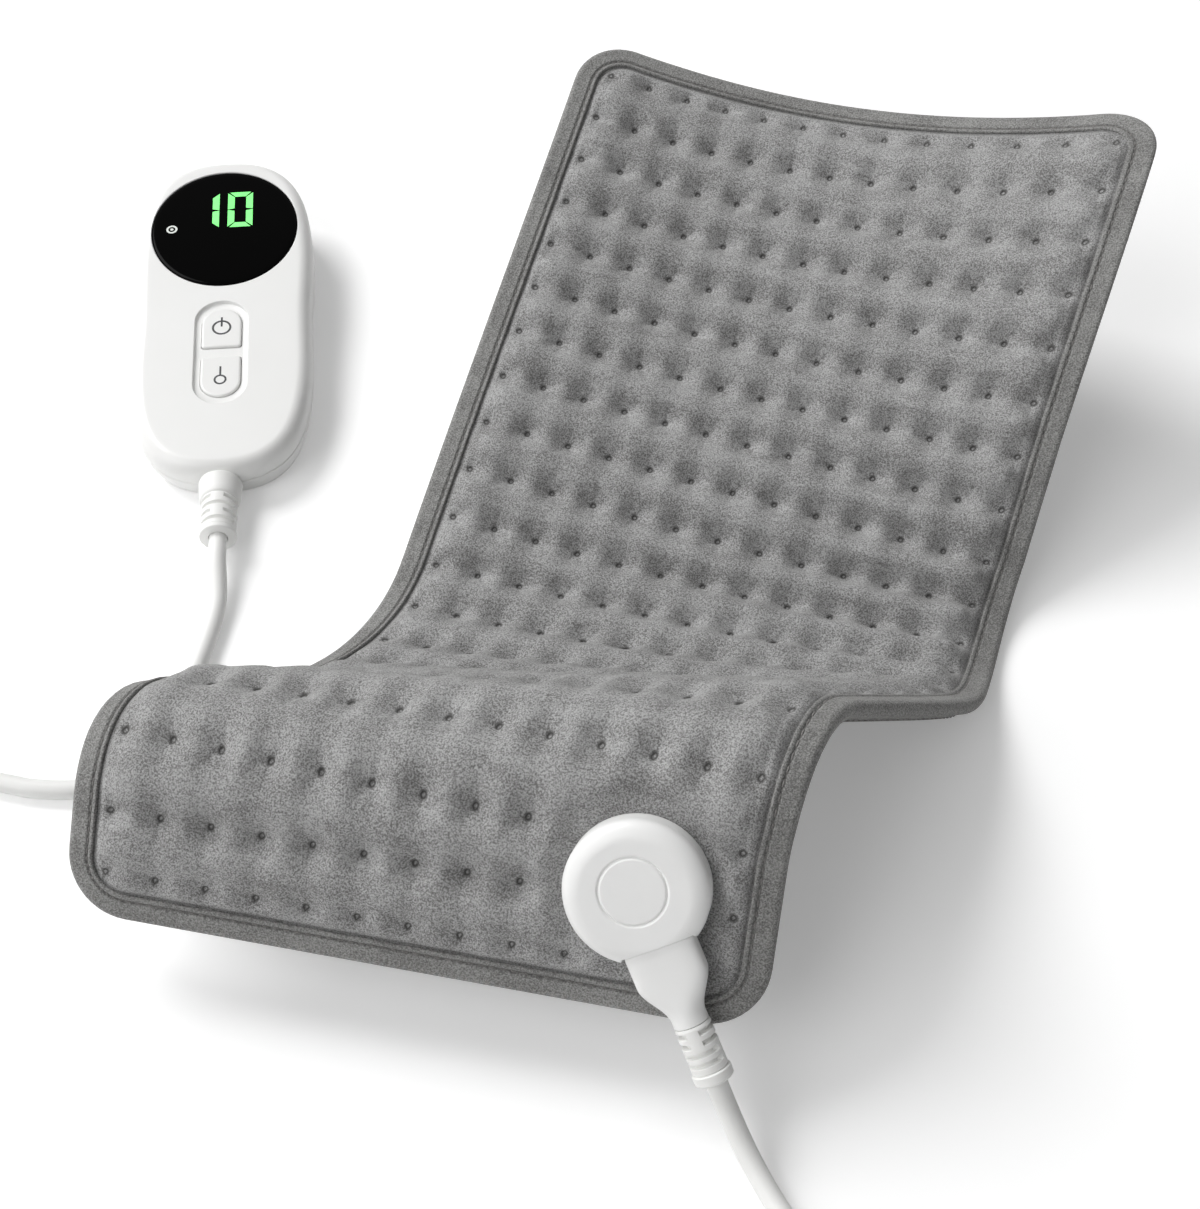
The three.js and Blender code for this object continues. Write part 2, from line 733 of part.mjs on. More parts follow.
add(socket, 'plug_contact_left', sleeve(1), brass());
add(socket, 'plug_contact_right', sleeve(-1), brass());

// Ribbed sleeve: a thin root inside, then ribs that step down to an end collar
function ribbed(rootFrom, from, long, wide, tip, bore, ribs) {
  const profile = [[rootFrom, bore], [rootFrom, bore + 1.1], [from, bore + 1.1], [from, wide]];
  const pitch = long / (ribs + 0.5);
  for (let k = 0; k < ribs; k += 1) {
    const r = THREE.MathUtils.lerp(wide, tip, k / ribs);
    const x = from + k * pitch;
    profile.push([x + pitch * 0.62, r], [x + pitch * 0.66, r - 1.3], [x + pitch * 0.96, r - 1.3]);
    profile.push([x + pitch, THREE.MathUtils.lerp(wide, tip, (k + 1) / ribs)]);
  }
  profile.push([from + long, tip], [from + long, bore]);
  return turnedX(profile, 16);
}
const reliefEnd = plugEnd + fitGap + reliefLong;
const ribsFrom = plugEnd + fitGap;
const reliefWide = reliefRadius - 0.4;
const plugRelief = ribbed(reliefStart, ribsFrom, reliefLong, reliefWide, reliefTip, leadBore, ribCount);
add(socket, 'plug_strain_relief', plugRelief.translate(0, 0, plugAxisHigh), softWhite());

// Thermostat on the felt between two wire runs, on the slope behind the crest
const statU = (uLines[8] + uLines[9]) / 2;
const statV = (folds[2].at + folds[2].long + folds[1].at) / 2;
const stat = padPoint(statU, statV, wireHeight);
const statUp = padPoint(statU, statV, wireHeight + 1).sub(stat).normalize();
const statAlong = padPoint(statU, statV + 1, wireHeight).sub(stat).normalize();
const statAcross = statAlong.clone().cross(statUp).normalize();
const statFrame = new THREE.Matrix4().makeBasis(statAcross, statAlong, statUp).setPosition(stat);
const thermostat = box(-4, 4, -7, 7, -wireRadius, wireRadius).applyMatrix4(statFrame);
add(stage, 'pad_thermostat', thermostat, material(0x2b2b2d, 0.5));

// Hand control
const hand = new THREE.Group();
stage.add(hand);
const tilt = rad(handTilt);
const turn = rad(handTurn);
const reachFlat = (handLong / 2) * Math.cos(tilt);
const handX = handAt[0] + Math.sin(turn) * reachFlat;
const handY = handAt[1] - Math.cos(turn) * reachFlat;
hand.position.set(handX, handY, handLow * Math.cos(tilt));
hand.rotation.set(tilt, 0, turn, 'ZYX');

function handOutline(n) {
  const half = handWide / 2;
  const pts = [];
  for (let i = 0; i < n; i += 1) {
    const t = (2 * Math.PI * i) / n;
    const c = Math.cos(t);
    const w = Math.sin(t);
    const y = handLong / 2 + (handLong / 2 - half) * Math.tanh(2.2 * w) / Math.tanh(2.2) + half * w;
    const waist = 1 - 0.05 * Math.exp(-(((y - handLong * 0.47) / (handLong * 0.16)) ** 2));
    pts.push([half * waist * Math.sign(c) * Math.abs(c) ** 0.82, y]);
  }
  return pts;
}
const outline = handOutline(48);
const slope = Math.tan(tilt);
const cutDeep = handWide;
const tableCut = (lift) => {
  const g = new THREE.BoxGeometry(handWide * 1.5, handLong * 1.4, cutDeep);
  g.translate(0, handLong / 2, lift - cutDeep / 2);
  const m = new THREE.Matrix4().makeRotationX(-tilt);
  m.setPosition(0, 0, -handLow);
  return g.applyMatrix4(m);
};
const lensAt = handLong - lensFromHead;
const innerTop = handWall;
const deep = -handLow - handLong * slope - 5;

// Shells, split along a plane parallel to the face
const glandWall = handWall + 2.2;
const glandDrop = partLine;
const glandGroup = new THREE.Group();
glandGroup.position.set(0, 0, -glandDrop);
glandGroup.rotation.set(-tilt, 0, 0);
const frameOfGland = new THREE.Matrix4().makeRotationX(-tilt).setPosition(0, 0, -glandDrop);
const alongGland = (g) => g.clone().rotateZ(-Math.PI / 2).applyMatrix4(frameOfGland);
const wallHole = alongGland(rodX(glandNeck + fitGap, -2 * glandCollar, 2 * glandCollar, 0, 0, 24));
const wallPad = common(
  loft(outline, [[handWall - 0.2, -partLine - 9.5], [handWall - 0.2, -1.5]]),
  box(-14, 14, -1, glandWall, -partLine - 9.5, -1.5),
);
const frontOuter = loft(outline, [
  [0, -partLine + 0.1], [0, -faceRound], [0.9, -faceRound * 0.55], [2.9, -faceRound * 0.2], [6.5, 0],
]);
const frontInner = loft(outline, [
  [handWall, -partLine - 1], [handWall, -faceRound],
  [handWall + 1.5, -faceRound * 0.5 - 0.6], [handWall + 5, -innerTop],
]);
const lensOval = (grow) => ellipse(lensHalfWide + grow, lensHalfLong + grow, 0, lensAt);
const lensHole = loft(lensOval(0.15), [[0, -lensThick - 0.15], [0, 1]]);
const lensPad = loft(lensOval(2), [[0, -lensThick - 2], [0, -1]]);
const windowHole = loft(lensOval(-lensLedge), [[0, -handWall - 8], [0, 1]]);
const trayPad = loft(stadium(trayWide + 4, trayLong + 4, trayAt), [[0, -trayDeep - trayFloor], [0, -1]]);
const trayPocket = loft(stadium(trayWide, trayLong, trayAt), [[0, -trayDeep], [0, 1]]);

function buttonOutline(grow, dir) {
  const r = buttonWide / 2 + grow;
  const flat = buttonLong - buttonWide / 2 + grow;
  const y0 = trayAt + dir * (buttonSplit / 2 - buttonLong / 2);
  const pts = [];
  for (let i = 0; i <= 10; i += 1) {
    const a = (Math.PI * i) / 10;
    pts.push([r * Math.cos(a), y0 + dir * (buttonLong - buttonWide / 2 + r * Math.sin(a))]);
  }
  const corner = 2;
  const base = y0 - dir * grow;
  pts.push([-r, base + dir * corner], [-r + corner * 0.3, base + dir * corner * 0.3], [-r + corner, base]);
  pts.push([r - corner, base], [r - corner * 0.3, base + dir * corner * 0.3], [r, base + dir * corner]);
  return dir > 0 ? pts : pts.reverse();
}
const holeLow = -trayDeep - trayFloor - 6;
const buttonHoles = [1, -1].map((d) => loft(buttonOutline(fitGap, d), [[0, holeLow], [0, 1]]));
const frontRaw = joined(without(frontOuter, frontInner), lensPad, trayPad, common(wallPad, frontOuter));
const frontBody = without(frontRaw, lensHole, windowHole, trayPocket, ...buttonHoles, wallHole);
add(hand, 'handset_front_shell', frontBody, white());

const flangeTop = -trayDeep - trayFloor - 0.2;
const boardTop = flangeTop - flangeThick - buttonTravel - 0.3 - plungerRadius * 0.6 - switchHigh;
const boardLow = boardTop - boardThick;
const postAcross = handWide / 2 - boardInset - 7;
const postSpots = [[-1, 0.2], [1, 0.2], [-1, 0.8], [1, 0.8]].map(([s, t]) => [s * postAcross, handLong * t]);
const rearOuter = without(loft(outline, [[0, deep], [0, -partLine - 0.1]]), tableCut(0));
const rearInner = without(loft(outline, [[handWall, deep], [handWall, -partLine + 1]]), tableCut(handWall));
const posts = postSpots.map(([x, y]) => {
  return without(rodZ(postRadius, x, y, deep, boardLow - 0.2, 16), tableCut(handWall - 0.5));
});
const postBores = postSpots.map(([x, y]) => rodZ(screwRadius + 0.15, x, y, boardLow - 9, boardLow + 1, 12));
const rearRaw = joined(without(rearOuter, rearInner), common(wallPad, rearOuter), ...posts);
const rearBody = without(rearRaw, ...postBores, wallHole);
add(hand, 'handset_rear_shell', rearBody, white());

const lens = loft(lensOval(0), [[0, -lensThick], [0, -0.5], [0.5, 0]]);
add(hand, 'display_lens', lens, material(0x0a0b0c, 0.12));
const moduleLow = boardTop + 0.2;
const moduleHigh = -lensThick - 0.4;
const moduleAt = lensAt + 1;
const displayModule = box(-moduleHalf, moduleHalf, moduleAt - moduleUp, moduleAt + moduleUp, moduleLow, moduleHigh);
add(hand, 'display_module', displayModule, material(0x141615, 0.5));
const lightGuide = rodZ(1.6, -lensHalfWide * 0.74, lensAt, moduleLow, moduleHigh, 12);
add(hand, 'light_guide', lightGuide, material(0xe6eef0, 0.3));

const boardRim = loft(outline, [[boardInset, boardLow], [boardInset, boardTop]]);
const boardFrom = handLong * 0.1;
const boardEnds = box(-handWide, handWide, boardFrom, handLong - boardInset, boardLow - 1, boardTop + 1);
const boardHoles = postSpots.map(([x, y]) => rodZ(screwRadius + 0.3, x, y, boardLow - 1, boardTop + 1, 12));
add(hand, 'circuit_board', without(common(boardRim, boardEnds), ...boardHoles), material(0x2f6b3c, 0.55));
postSpots.forEach(([x, y], n) => {
  const shank = rodZ(screwRadius, x, y, boardLow - 7, boardTop + 0.4, 12);
  const head = rodZ(screwHead, x, y, boardTop + 0.15, boardTop + 0.15 + screwHeadHigh, 16);
  add(hand, `board_screw_${n + 1}`, joined(shank, head), steel());
});

// Buttons with a flange under the tray, each above its own switch
const buttonTop = -trayDeep + buttonRise;
[['power', 1], ['temperature', -1]].forEach(([name, d]) => {
  const low = flangeTop - flangeThick;
  const capSides = [[0, low], [0, buttonTop - 0.6], [0.6, buttonTop - 0.15], [1.4, buttonTop]];
  const cap = loft(buttonOutline(0, d), capSides);
  const flange = loft(buttonOutline(flangeOut, d), [[0, low], [0, flangeTop]]);
  add(hand, `${name}_button`, joined(cap, flange), white());
  const y = trayAt + d * (buttonSplit / 2);
  const half = switchSide / 2;
  const body = box(-half, half, y - half, y + half, boardTop + 0.1, boardTop + switchHigh);
  const plunger = rodZ(plungerRadius, 0, y, boardTop + 1, low - buttonTravel - 0.2, 16);
  add(hand, `${name}_switch`, joined(body, plunger), material(0x333437, 0.5));
});

// Parts under the board
const relayAt = handLong * 0.72;
const relay = box(-9, 9, relayAt - 12, relayAt + 12, boardLow - 14, boardLow - 0.2);
add(hand, 'relay', relay, material(0x2a4f8f, 0.45));
const capacitor = rodZ(5, -18, handLong * 0.52, boardLow - 12, boardLow - 0.2, 20);
add(hand, 'capacitor', capacitor, material(0x1d1d1f, 0.4));
add(hand, 'fuse', rodX(2.4, -10, 10, handLong * 0.42, boardLow - 3, 14), material(0xd7d2c6, 0.3));

// Strain relief of the hand control, level with the table
hand.add(glandGroup);
function gland() {
  const grip = glandNeck + glandGrip;
  const neckFrom = -glandWall - 0.4 - grip * slope;
  const collarEnd = glandCollarLong;
  const profile = [[neckFrom - glandFlange, leadBore], [neckFrom - glandFlange, grip], [neckFrom, grip]];
  profile.push([neckFrom, glandNeck], [fitGap, glandNeck], [fitGap, glandCollar - 0.6], [0.9, glandCollar]);
  profile.push([collarEnd - 0.8, glandCollar], [collarEnd, glandRadius]);
  const ribs = 5;
  const pitch = glandLong / (ribs + 0.5);
  for (let k = 0; k < ribs; k += 1) {
    const r = THREE.MathUtils.lerp(glandRadius, glandTip, k / ribs);
    const x = collarEnd + k * pitch;
    profile.push([x + pitch * 0.62, r], [x + pitch * 0.66, r - 1.4], [x + pitch * 0.96, r - 1.4]);
    profile.push([x + pitch, THREE.MathUtils.lerp(glandRadius, glandTip, (k + 1) / ribs)]);
  }
  profile.push([collarEnd + glandLong, glandTip], [collarEnd + glandLong, leadBore]);
  return turnedX(profile, 16).rotateZ(-Math.PI / 2);
}
add(glandGroup, 'handset_strain_relief', gland(), softWhite());
const clampIn = glandWall + glandFlange + 4;
const clampLow = -(handLow - glandDrop) * Math.cos(tilt) + handWall + 0.2;
const clampBox = box(-9, 9, clampIn, clampIn + 7, clampLow, leadRadius + 1.5);
const clampBore = rodX(leadBore, 0, 3 * clampIn, 0, 0, 18).rotateZ(Math.PI / 2);
add(glandGroup, 'cord_clamp', without(clampBox, clampBore), material(0x3a3b3e, 0.6));

// Lead: out of the plug, onto the table, round in front of the pad and under its arch to the hand control
object.updateMatrixWorld(true);
const glandPoint = (x, y, z) => glandGroup.localToWorld(new THREE.Vector3(x, y, z));
const out = inSocket(reliefEnd, 0, plugAxisHigh);
const ahead = plugAxis.clone();
const level = new THREE.Vector3(ahead.x, ahead.y, 0).normalize();
const dip = Math.asin(-ahead.z);
const floorZ = leadRadius + 0.15;
const bendRadius = 56;
const straight = (out.z - floorZ - bendRadius * (1 - Math.cos(dip))) / Math.sin(dip);
const bendStart = out.clone().addScaledVector(ahead, straight);
const leadPoints = [inSocket(reliefEnd - leadInPlug, 0, plugAxisHigh), out, bendStart];
for (const share of [0.25, 0.5, 0.75, 1]) {
  const a = dip * (1 - share);
  const flat = bendRadius * (Math.sin(dip) - Math.sin(a));
  const drop = bendRadius * (Math.cos(a) - Math.cos(dip));
  const p = bendStart.clone().addScaledVector(level, flat);
  p.z -= drop;
  leadPoints.push(p);
}
const landed = leadPoints[leadPoints.length - 1];
const turnRadius = 46;
const frontRun = -142;
const leftRun = -290;
const rowRun = 62;

// Arc on the table from a heading through an angle, clockwise seen from above when the angle is negative
function arc(list, from, heading, sweep, radius, parts) {
  const s = Math.sign(sweep);
  const cx = from.x - s * radius * Math.sin(heading);
  const cy = from.y + s * radius * Math.cos(heading);
  for (let k = 1; k <= parts; k += 1) {
    const h = heading + (sweep * k) / parts;
    list.push(new THREE.Vector3(cx + s * radius * Math.sin(h), cy - s * radius * Math.cos(h), floorZ));
  }
  return heading + sweep;
}
const startHeading = Math.atan2(level.y, level.x);
const drift = (landed.y - frontRun - turnRadius * (Math.cos(startHeading) + 1)) / -Math.sin(startHeading);
const turnIn = landed.clone().addScaledVector(level, Math.max(drift, 1));
leadPoints.push(turnIn);
arc(leadPoints, turnIn, startHeading, -Math.PI - startHeading, turnRadius, 6);
const frontLeft = leftRun + turnRadius;
const frontY = leadPoints[leadPoints.length - 1].y;
const frontX = leadPoints[leadPoints.length - 1].x;
for (const share of [0.2, 0.4, 0.6, 0.8, 1]) {
  leadPoints.push(new THREE.Vector3(THREE.MathUtils.lerp(frontX, frontLeft, share), frontY, floorZ));
}
arc(leadPoints, leadPoints[leadPoints.length - 1], Math.PI, -Math.PI / 2, turnRadius, 3);
const upLeft = rowRun - turnRadius;
for (const share of [0.5, 1]) {
  const sideY = THREE.MathUtils.lerp(frontY + turnRadius, upLeft, share);
  leadPoints.push(new THREE.Vector3(leftRun, sideY, floorZ));
}
arc(leadPoints, leadPoints[leadPoints.length - 1], Math.PI / 2, -Math.PI / 2, turnRadius, 3);
const home = glandPoint(0, -glandCollarLong - glandLong, 0);
const homeIn = glandPoint(0, -glandCollarLong - glandLong + leadInHandset, 0);
const homeWay = homeIn.clone().sub(home).normalize();
const homeHeading = Math.atan2(homeWay.y, homeWay.x);
const lastSweep = homeHeading;
const lastRadius = turnRadius;
const homeOut = home.clone().addScaledVector(homeWay, -34);
const arcEndX = homeOut.x - homeWay.x * 10;
const arcStartX = arcEndX - lastRadius * Math.sin(lastSweep);
for (const share of [0.5, 1]) {
  const rowX = THREE.MathUtils.lerp(leftRun + turnRadius, arcStartX, share);
  leadPoints.push(new THREE.Vector3(rowX, rowRun, floorZ));
}
arc(leadPoints, leadPoints[leadPoints.length - 1], 0, lastSweep, lastRadius, 4);
homeOut.z = floorZ + 1.2;
leadPoints.push(homeOut, home.clone().addScaledVector(homeWay, -12), home, homeIn);
const leadCurve = new THREE.CatmullRomCurve3(leadPoints, false, 'centripetal');
const leadRound = ellipse(leadRadius, leadRadius, 0, 0, 9).map(([x, y]) => new THREE.Vector2(x, y));
const leadSides = { steps: 78, extrudePath: leadCurve, bevelEnabled: false };
const lead = new THREE.ExtrudeGeometry(new THREE.Shape(leadRound), leadSides);
const leadMesh = add(stage, 'lead', lead, softWhite());

// Origin: middle of the base of everything but the lead
object.updateMatrixWorld(true);
const bounds = new THREE.Box3();
stage.traverse((node) => {
  if (node.isMesh && node !== leadMesh) bounds.expandByObject(node, true);
});
const middle = bounds.getCenter(new THREE.Vector3());
stage.position.set(-middle.x, -middle.y, -bounds.min.z);
object.updateMatrixWorld(true);

export default object;
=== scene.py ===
import math
import bpy
import numpy as np
from mathutils import Matrix


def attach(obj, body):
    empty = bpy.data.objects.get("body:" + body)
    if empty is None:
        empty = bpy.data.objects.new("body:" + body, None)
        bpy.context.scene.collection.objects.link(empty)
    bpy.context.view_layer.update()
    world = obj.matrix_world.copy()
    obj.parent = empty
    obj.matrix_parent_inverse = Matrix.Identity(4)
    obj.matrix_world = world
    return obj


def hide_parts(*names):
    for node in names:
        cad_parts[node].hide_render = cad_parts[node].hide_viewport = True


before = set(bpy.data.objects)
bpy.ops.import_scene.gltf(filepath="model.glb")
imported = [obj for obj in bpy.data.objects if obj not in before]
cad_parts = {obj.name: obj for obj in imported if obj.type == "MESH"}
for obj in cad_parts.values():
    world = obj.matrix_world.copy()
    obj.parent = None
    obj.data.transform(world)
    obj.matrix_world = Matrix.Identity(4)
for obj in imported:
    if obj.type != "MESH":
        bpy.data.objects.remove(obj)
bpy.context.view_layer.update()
mm = 0.001
print("frame loaded,", len(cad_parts), "nodes")


# smooth step from 0 to 1
def ease(t):
    t = np.clip(t, 0, 1)
    return t * t * (3 - 2 * t)


# bell of height 1 that falls to 1/e at w
def bell(x, w):
    return np.exp(-((x / w) ** 2))


# n even angles once round
def around(n):
    return np.linspace(0, 2 * math.pi, n, endpoint=False)


# n even shares up to 1, as a column
def shares(n):
    return np.arange(1, n + 1)[:, None] / n


# sRGB hex text to linear colour
def colour(text):
    c = np.array([int(text[i:i + 2], 16) for i in (1, 3, 5)]) / 255
    c = np.where(c <= 0.04045, c / 12.92, ((c + 0.055) / 1.055) ** 2.4)
    return (*[float(x) for x in c], 1.0)


# quads between neighbouring rows and columns of an index grid
def gridFaces(index, loopRows=False, loopCols=False):
    down = np.roll(index, -1, axis=0)
    right = np.roll(index, -1, axis=1)
    quads = np.stack([index, right, np.roll(down, -1, axis=1), down], axis=-1)
    return quads[: None if loopRows else -1, : None if loopCols else -1].reshape(-1, 4)


# closed solid from rings (count, around, 3): quads between rings and a fan on each end ring
def ringSolid(rings):
    n, m = rings.shape[:2]
    index = np.arange(n * m).reshape(n, m)
    points = np.concatenate([rings.reshape(-1, 3), rings[:1].mean(1), rings[-1:].mean(1)])
    a, b = index[0], index[-1]
    low = np.stack([np.roll(a, -1), a, np.full(m, n * m)], axis=1)
    high = np.stack([b, np.roll(b, -1), np.full(m, n * m + 1)], axis=1)
    return points, [gridFaces(index, loopCols=True), low, high]


# closed ring solid from a section loop carried round a closed path (path, section, 3)
def loopSolid(rings):
    n, m = rings.shape[:2]
    return rings.reshape(-1, 3), [gridFaces(np.arange(n * m).reshape(n, m), True, True)]


# two grids of the same size, one above the other, closed along their border
def sheetSolid(top, low):
    n, m = top.shape[:2]
    index = np.arange(n * m).reshape(n, m)
    edge = np.concatenate([index[0, :-1], index[:-1, -1], index[-1, :0:-1], index[:0:-1, 0]])
    ahead = np.roll(edge, -1)
    wall = np.stack([edge + n * m, ahead + n * m, ahead, edge], axis=1)
    under = gridFaces(index)[:, ::-1] + n * m
    return np.concatenate([top.reshape(-1, 3), low.reshape(-1, 3)]), [gridFaces(index), under, wall]


# box: a rectangle at two heights
def boxSolid(x0, x1, y0, y1, z0, z1):
    square = np.array([[x0, y0], [x1, y0], [x1, y1], [x0, y1]], float)
    return ringSolid(np.stack([np.c_[square, np.full(4, z)] for z in (z0, z1)]))


# several solids side by side in one mesh
def together(solids):
    points, faces, start = [], [], 0
    for p, fs in solids:
        points.append(p)
        faces += [f + start for f in fs]
        start += len(p)
    return np.concatenate(points), faces


# solid carried into the frame of the socket, the hand control or its gland
def placed(solid, frameOf):
    return frameOf(solid[0]), solid[1]


# mesh in mm, faces turned outwards by the sign of their volume
def solidMesh(name, points, faces):
    volume = 0
    for f in faces:
        p = points[f]
        for k in range(1, f.shape[1] - 1):
            volume += np.einsum("ij,ij->", p[:, 0], np.cross(p[:, k], p[:, k + 1]))
    if volume < 0:
        faces = [f[:, ::-1] for f in faces]
    corners = np.concatenate([f.ravel() for f in faces]).astype(np.int32)
    sizes = np.concatenate([np.full(len(f), f.shape[1]) for f in faces])
    mesh = bpy.data.meshes.new(name)
    mesh.vertices.add(len(points))
    mesh.vertices.foreach_set("co", points.astype(np.float32).ravel())
    mesh.loops.add(len(corners))
    mesh.loops.foreach_set("vertex_index", corners)
    mesh.polygons.add(len(sizes))
    mesh.polygons.foreach_set("loop_start", (np.cumsum(sizes) - sizes).astype(np.int32))
    mesh.update(calc_edges=True)
    return mesh


# new object in the scene
def addObject(name, data):
    thing = bpy.data.objects.new(name, data)
    bpy.context.scene.collection.objects.link(thing)
    return thing


# mesh with each tool's solid cut out of it
def carved(mesh, tools):
    for tool in tools:
        body = addObject("carvedBody", mesh)
        knife = addObject("carvingTool", solidMesh("carvingTool", *tool))
        cut = body.modifiers.new("cut", "BOOLEAN")
        cut.operation = "DIFFERENCE"
        cut.solver = "EXACT"
        cut.object = knife
        result = body.evaluated_get(bpy.context.evaluated_depsgraph_get())
        mesh = bpy.data.meshes.new_from_object(result)
        bpy.data.objects.remove(body)
        bpy.data.objects.remove(knife)
    return mesh


# piece from a solid in mm: cut, marked by point attributes, brought to metres, and smooth but for edges that
# are sharper than the angle
def showPiece(name, solid, look, body="pad", stands=(), sharp=30, cuts=(), marks=None):
    mesh = carved(solidMesh(name, *solid), cuts)
    for mark, values in (marks or {}).items():
        layer = mesh.attributes.new(mark, "FLOAT", "POINT")
        layer.data.foreach_set("value", values.astype(np.float32).ravel())
    mesh.transform(Matrix.Scale(mm, 4))
    mesh.materials.clear()
    mesh.materials.append(look)
    mesh.shade_smooth()
    mesh.set_sharp_from_angle(angle=math.radians(sharp))
    piece = addObject(name, mesh)
    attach(piece, body)
    if stands:
        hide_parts(*stands)
    return piece


# one node with its settings, its input values and its links
def addNode(tree, kind, inputs=None, **settings):
    node = tree.nodes.new("ShaderNode" + kind)
    for key, value in settings.items():
        setattr(node, key, value)
    for key, value in (inputs or {}).items():
        if isinstance(value, bpy.types.NodeSocket):
            tree.links.new(value, node.inputs[key])
        else:
            node.inputs[key].default_value = value
    return node


# new material: its tree, its shader and Object coordinates
def newLook(name, shader):
    look = bpy.data.materials.new(name)
    look.use_nodes = True
    tree = look.node_tree
    tree.nodes.clear()
    face = addNode(tree, "BsdfPrincipled", shader)
    addNode(tree, "OutputMaterial", {"Surface": face.outputs["BSDF"]})
    place = addNode(tree, "TexCoord").outputs["Object"]
    return look, tree, face, place


# camera at the photograph's viewing angle, image taken as 1200 by 1209; degrees and mm
viewing = dict(azimuth=-11.49, elevation=49.66, distance=833.3, target=(34.46, -34.55, 28.6),
               lens=59.645, sensor=36)


def placeCamera():
    az, el = math.radians(viewing["azimuth"]), math.radians(viewing["elevation"])
    ahead = np.array([math.sin(az) * math.cos(el), math.cos(az) * math.cos(el), -math.sin(el)])
    data = bpy.data.cameras.new("photoCamera")
    data.sensor_fit = "HORIZONTAL"
    data.sensor_width = viewing["sensor"]
    data.lens = viewing["lens"]
    camera = addObject("photoCamera", data)
    camera.location = (np.array(viewing["target"]) - ahead * viewing["distance"]) * mm
    camera.rotation_euler = (math.pi / 2 - el, 0, -az)
    bpy.context.scene.camera = camera
    print("camera placed")


placeCamera()


# moulded plastic: satin, its tone drifting over 40 mm, with a faint spark-eroded grain; grain and lift in mm,
# drawn coarser than the real grain, which is too fine to show
def mouldedLook(name, pale, deep, rough, grain, lift):
    look, tree, face, place = newLook(name, {"Roughness": rough, "IOR": 1.5})
    drift = addNode(tree, "TexNoise", {"Vector": place, "Scale": 1 / (40 * mm), "Detail": 3})
    tone = addNode(tree, "Mix", {"Factor": drift.outputs["Fac"], 6: colour(pale), 7: colour(deep)},
                   data_type="RGBA")
    spark = addNode(tree, "TexNoise", {"Vector": place, "Scale": 1 / (grain * mm), "Detail": 2})
    bump = addNode(tree, "Bump", {"Height": spark.outputs["Fac"], "Distance": lift * mm,
                                            "Strength": 0.5})
    tree.links.new(tone.outputs[2], face.inputs["Base Color"])
    tree.links.new(bump.outputs["Normal"], face.inputs["Normal"])
    return look


# white ABS of the hand control, brighter ABS of disc and plug, duller and softer PVC of sleeves and lead
shellWhite = mouldedLook("mouldedSatinAbs", "#f3f3f2", "#eeeeec", 0.36, 0.7, 0.03)
discWhite = mouldedLook("mouldedBrightAbs", "#f9f9f8", "#f5f5f4", 0.4, 0.7, 0.03)
softWhite = mouldedLook("mouldedSoftPvc", "#f6f6f4", "#f0f0ee", 0.5, 0.9, 0.05)

# where the pad stands in the shared frame, the socket on it and the hand control beside it, mm and degrees
standing = np.array([47.7987, -217.30037, -0.71871])
socketPlace = dict(across=80, up=48, pitch=50, turn=30, axisHigh=7.15, reliefEnd=72.6)
handPlace = dict(at=(-228, 330), long=204, wide=88, tilt=5, turn=16.5, low=22, glandDrop=11, glandReach=33.5)

# pad: size, quilting, layers from the underside and the three folds (start, slant, turn, length)
pad = dict(wide=260, long=530, columns=13, rows=22, sideMargin=16, endMargin=18.25, corner=24, inset=1.7,
           topHigh=9, topLow=7, hemHigh=6.1, hemSplit=4.4, hemLift=3, layerGap=0.3, backCloth=2.2,
           folds=((473, -35, -12.5, 172), (180, 16.5, 74, 106.5), (60, 8, -98, 51)),
           lipLift=30, sway=47, swayEnd=250, backBow=33, bowLevel=0.33, backTwist=34.5,
           valleySag=-0.7, valleyMid=286, valleyReach=150)
pitchU = (pad["wide"] - 2 * pad["sideMargin"]) / (pad["columns"] - 1)
pitchV = (pad["long"] - 2 * pad["endMargin"]) / (pad["rows"] - 1)
lipAngle = math.radians(socketPlace["pitch"])


# flat point (u across, v from the front edge, h up): bowed and twisted at the back, rolled about each slanted
# line in turn so that what lies past the line goes round an arc, then swayed and pitched as a whole
def folded(u, v, h):
    half = pad["long"] / 2
    far = ease((v - half) / half)
    near = 1 - ease(np.abs(v - pad["valleyMid"]) / pad["valleyReach"])
    across = u / (pad["wide"] / 2)
    bow = (pad["backBow"] * far + pad["valleySag"] * near) * (across ** 2 - pad["bowLevel"])
    z = h + bow + pad["backTwist"] * across * far
    x, y = u, v
    for at, slant, turn, long in pad["folds"]:
        c, s = math.cos(math.radians(slant)), math.sin(math.radians(slant))
        past = -s * u + c * (v - at)
        along = c * x + s * (y - at)
        over = -s * x + c * (y - at)
        bend = long / math.radians(turn)
        angle = np.clip(past, 0, long) / bend
        rest = np.where(past > long, over - long, np.where(past < 0, over, 0))
        reach = bend * np.sin(angle) + rest * np.cos(angle) - z * np.sin(angle)
        z = bend * (1 - np.cos(angle)) + rest * np.sin(angle) + z * np.cos(angle)
        x, y = along * c - reach * s, at + along * s + reach * c
    crest = pad["folds"][2][0]
    sway = pad["sway"] * (1 - ease((v - crest) / (pad["swayEnd"] - crest)))
    c, s = math.cos(lipAngle), math.sin(lipAngle)
    out = np.stack([x - sway, y * c - z * s, pad["lipLift"] + y * s + z * c], -1) + standing
    out[..., 2] = np.maximum(out[..., 2], 0)           # nothing lies below the table
    return out


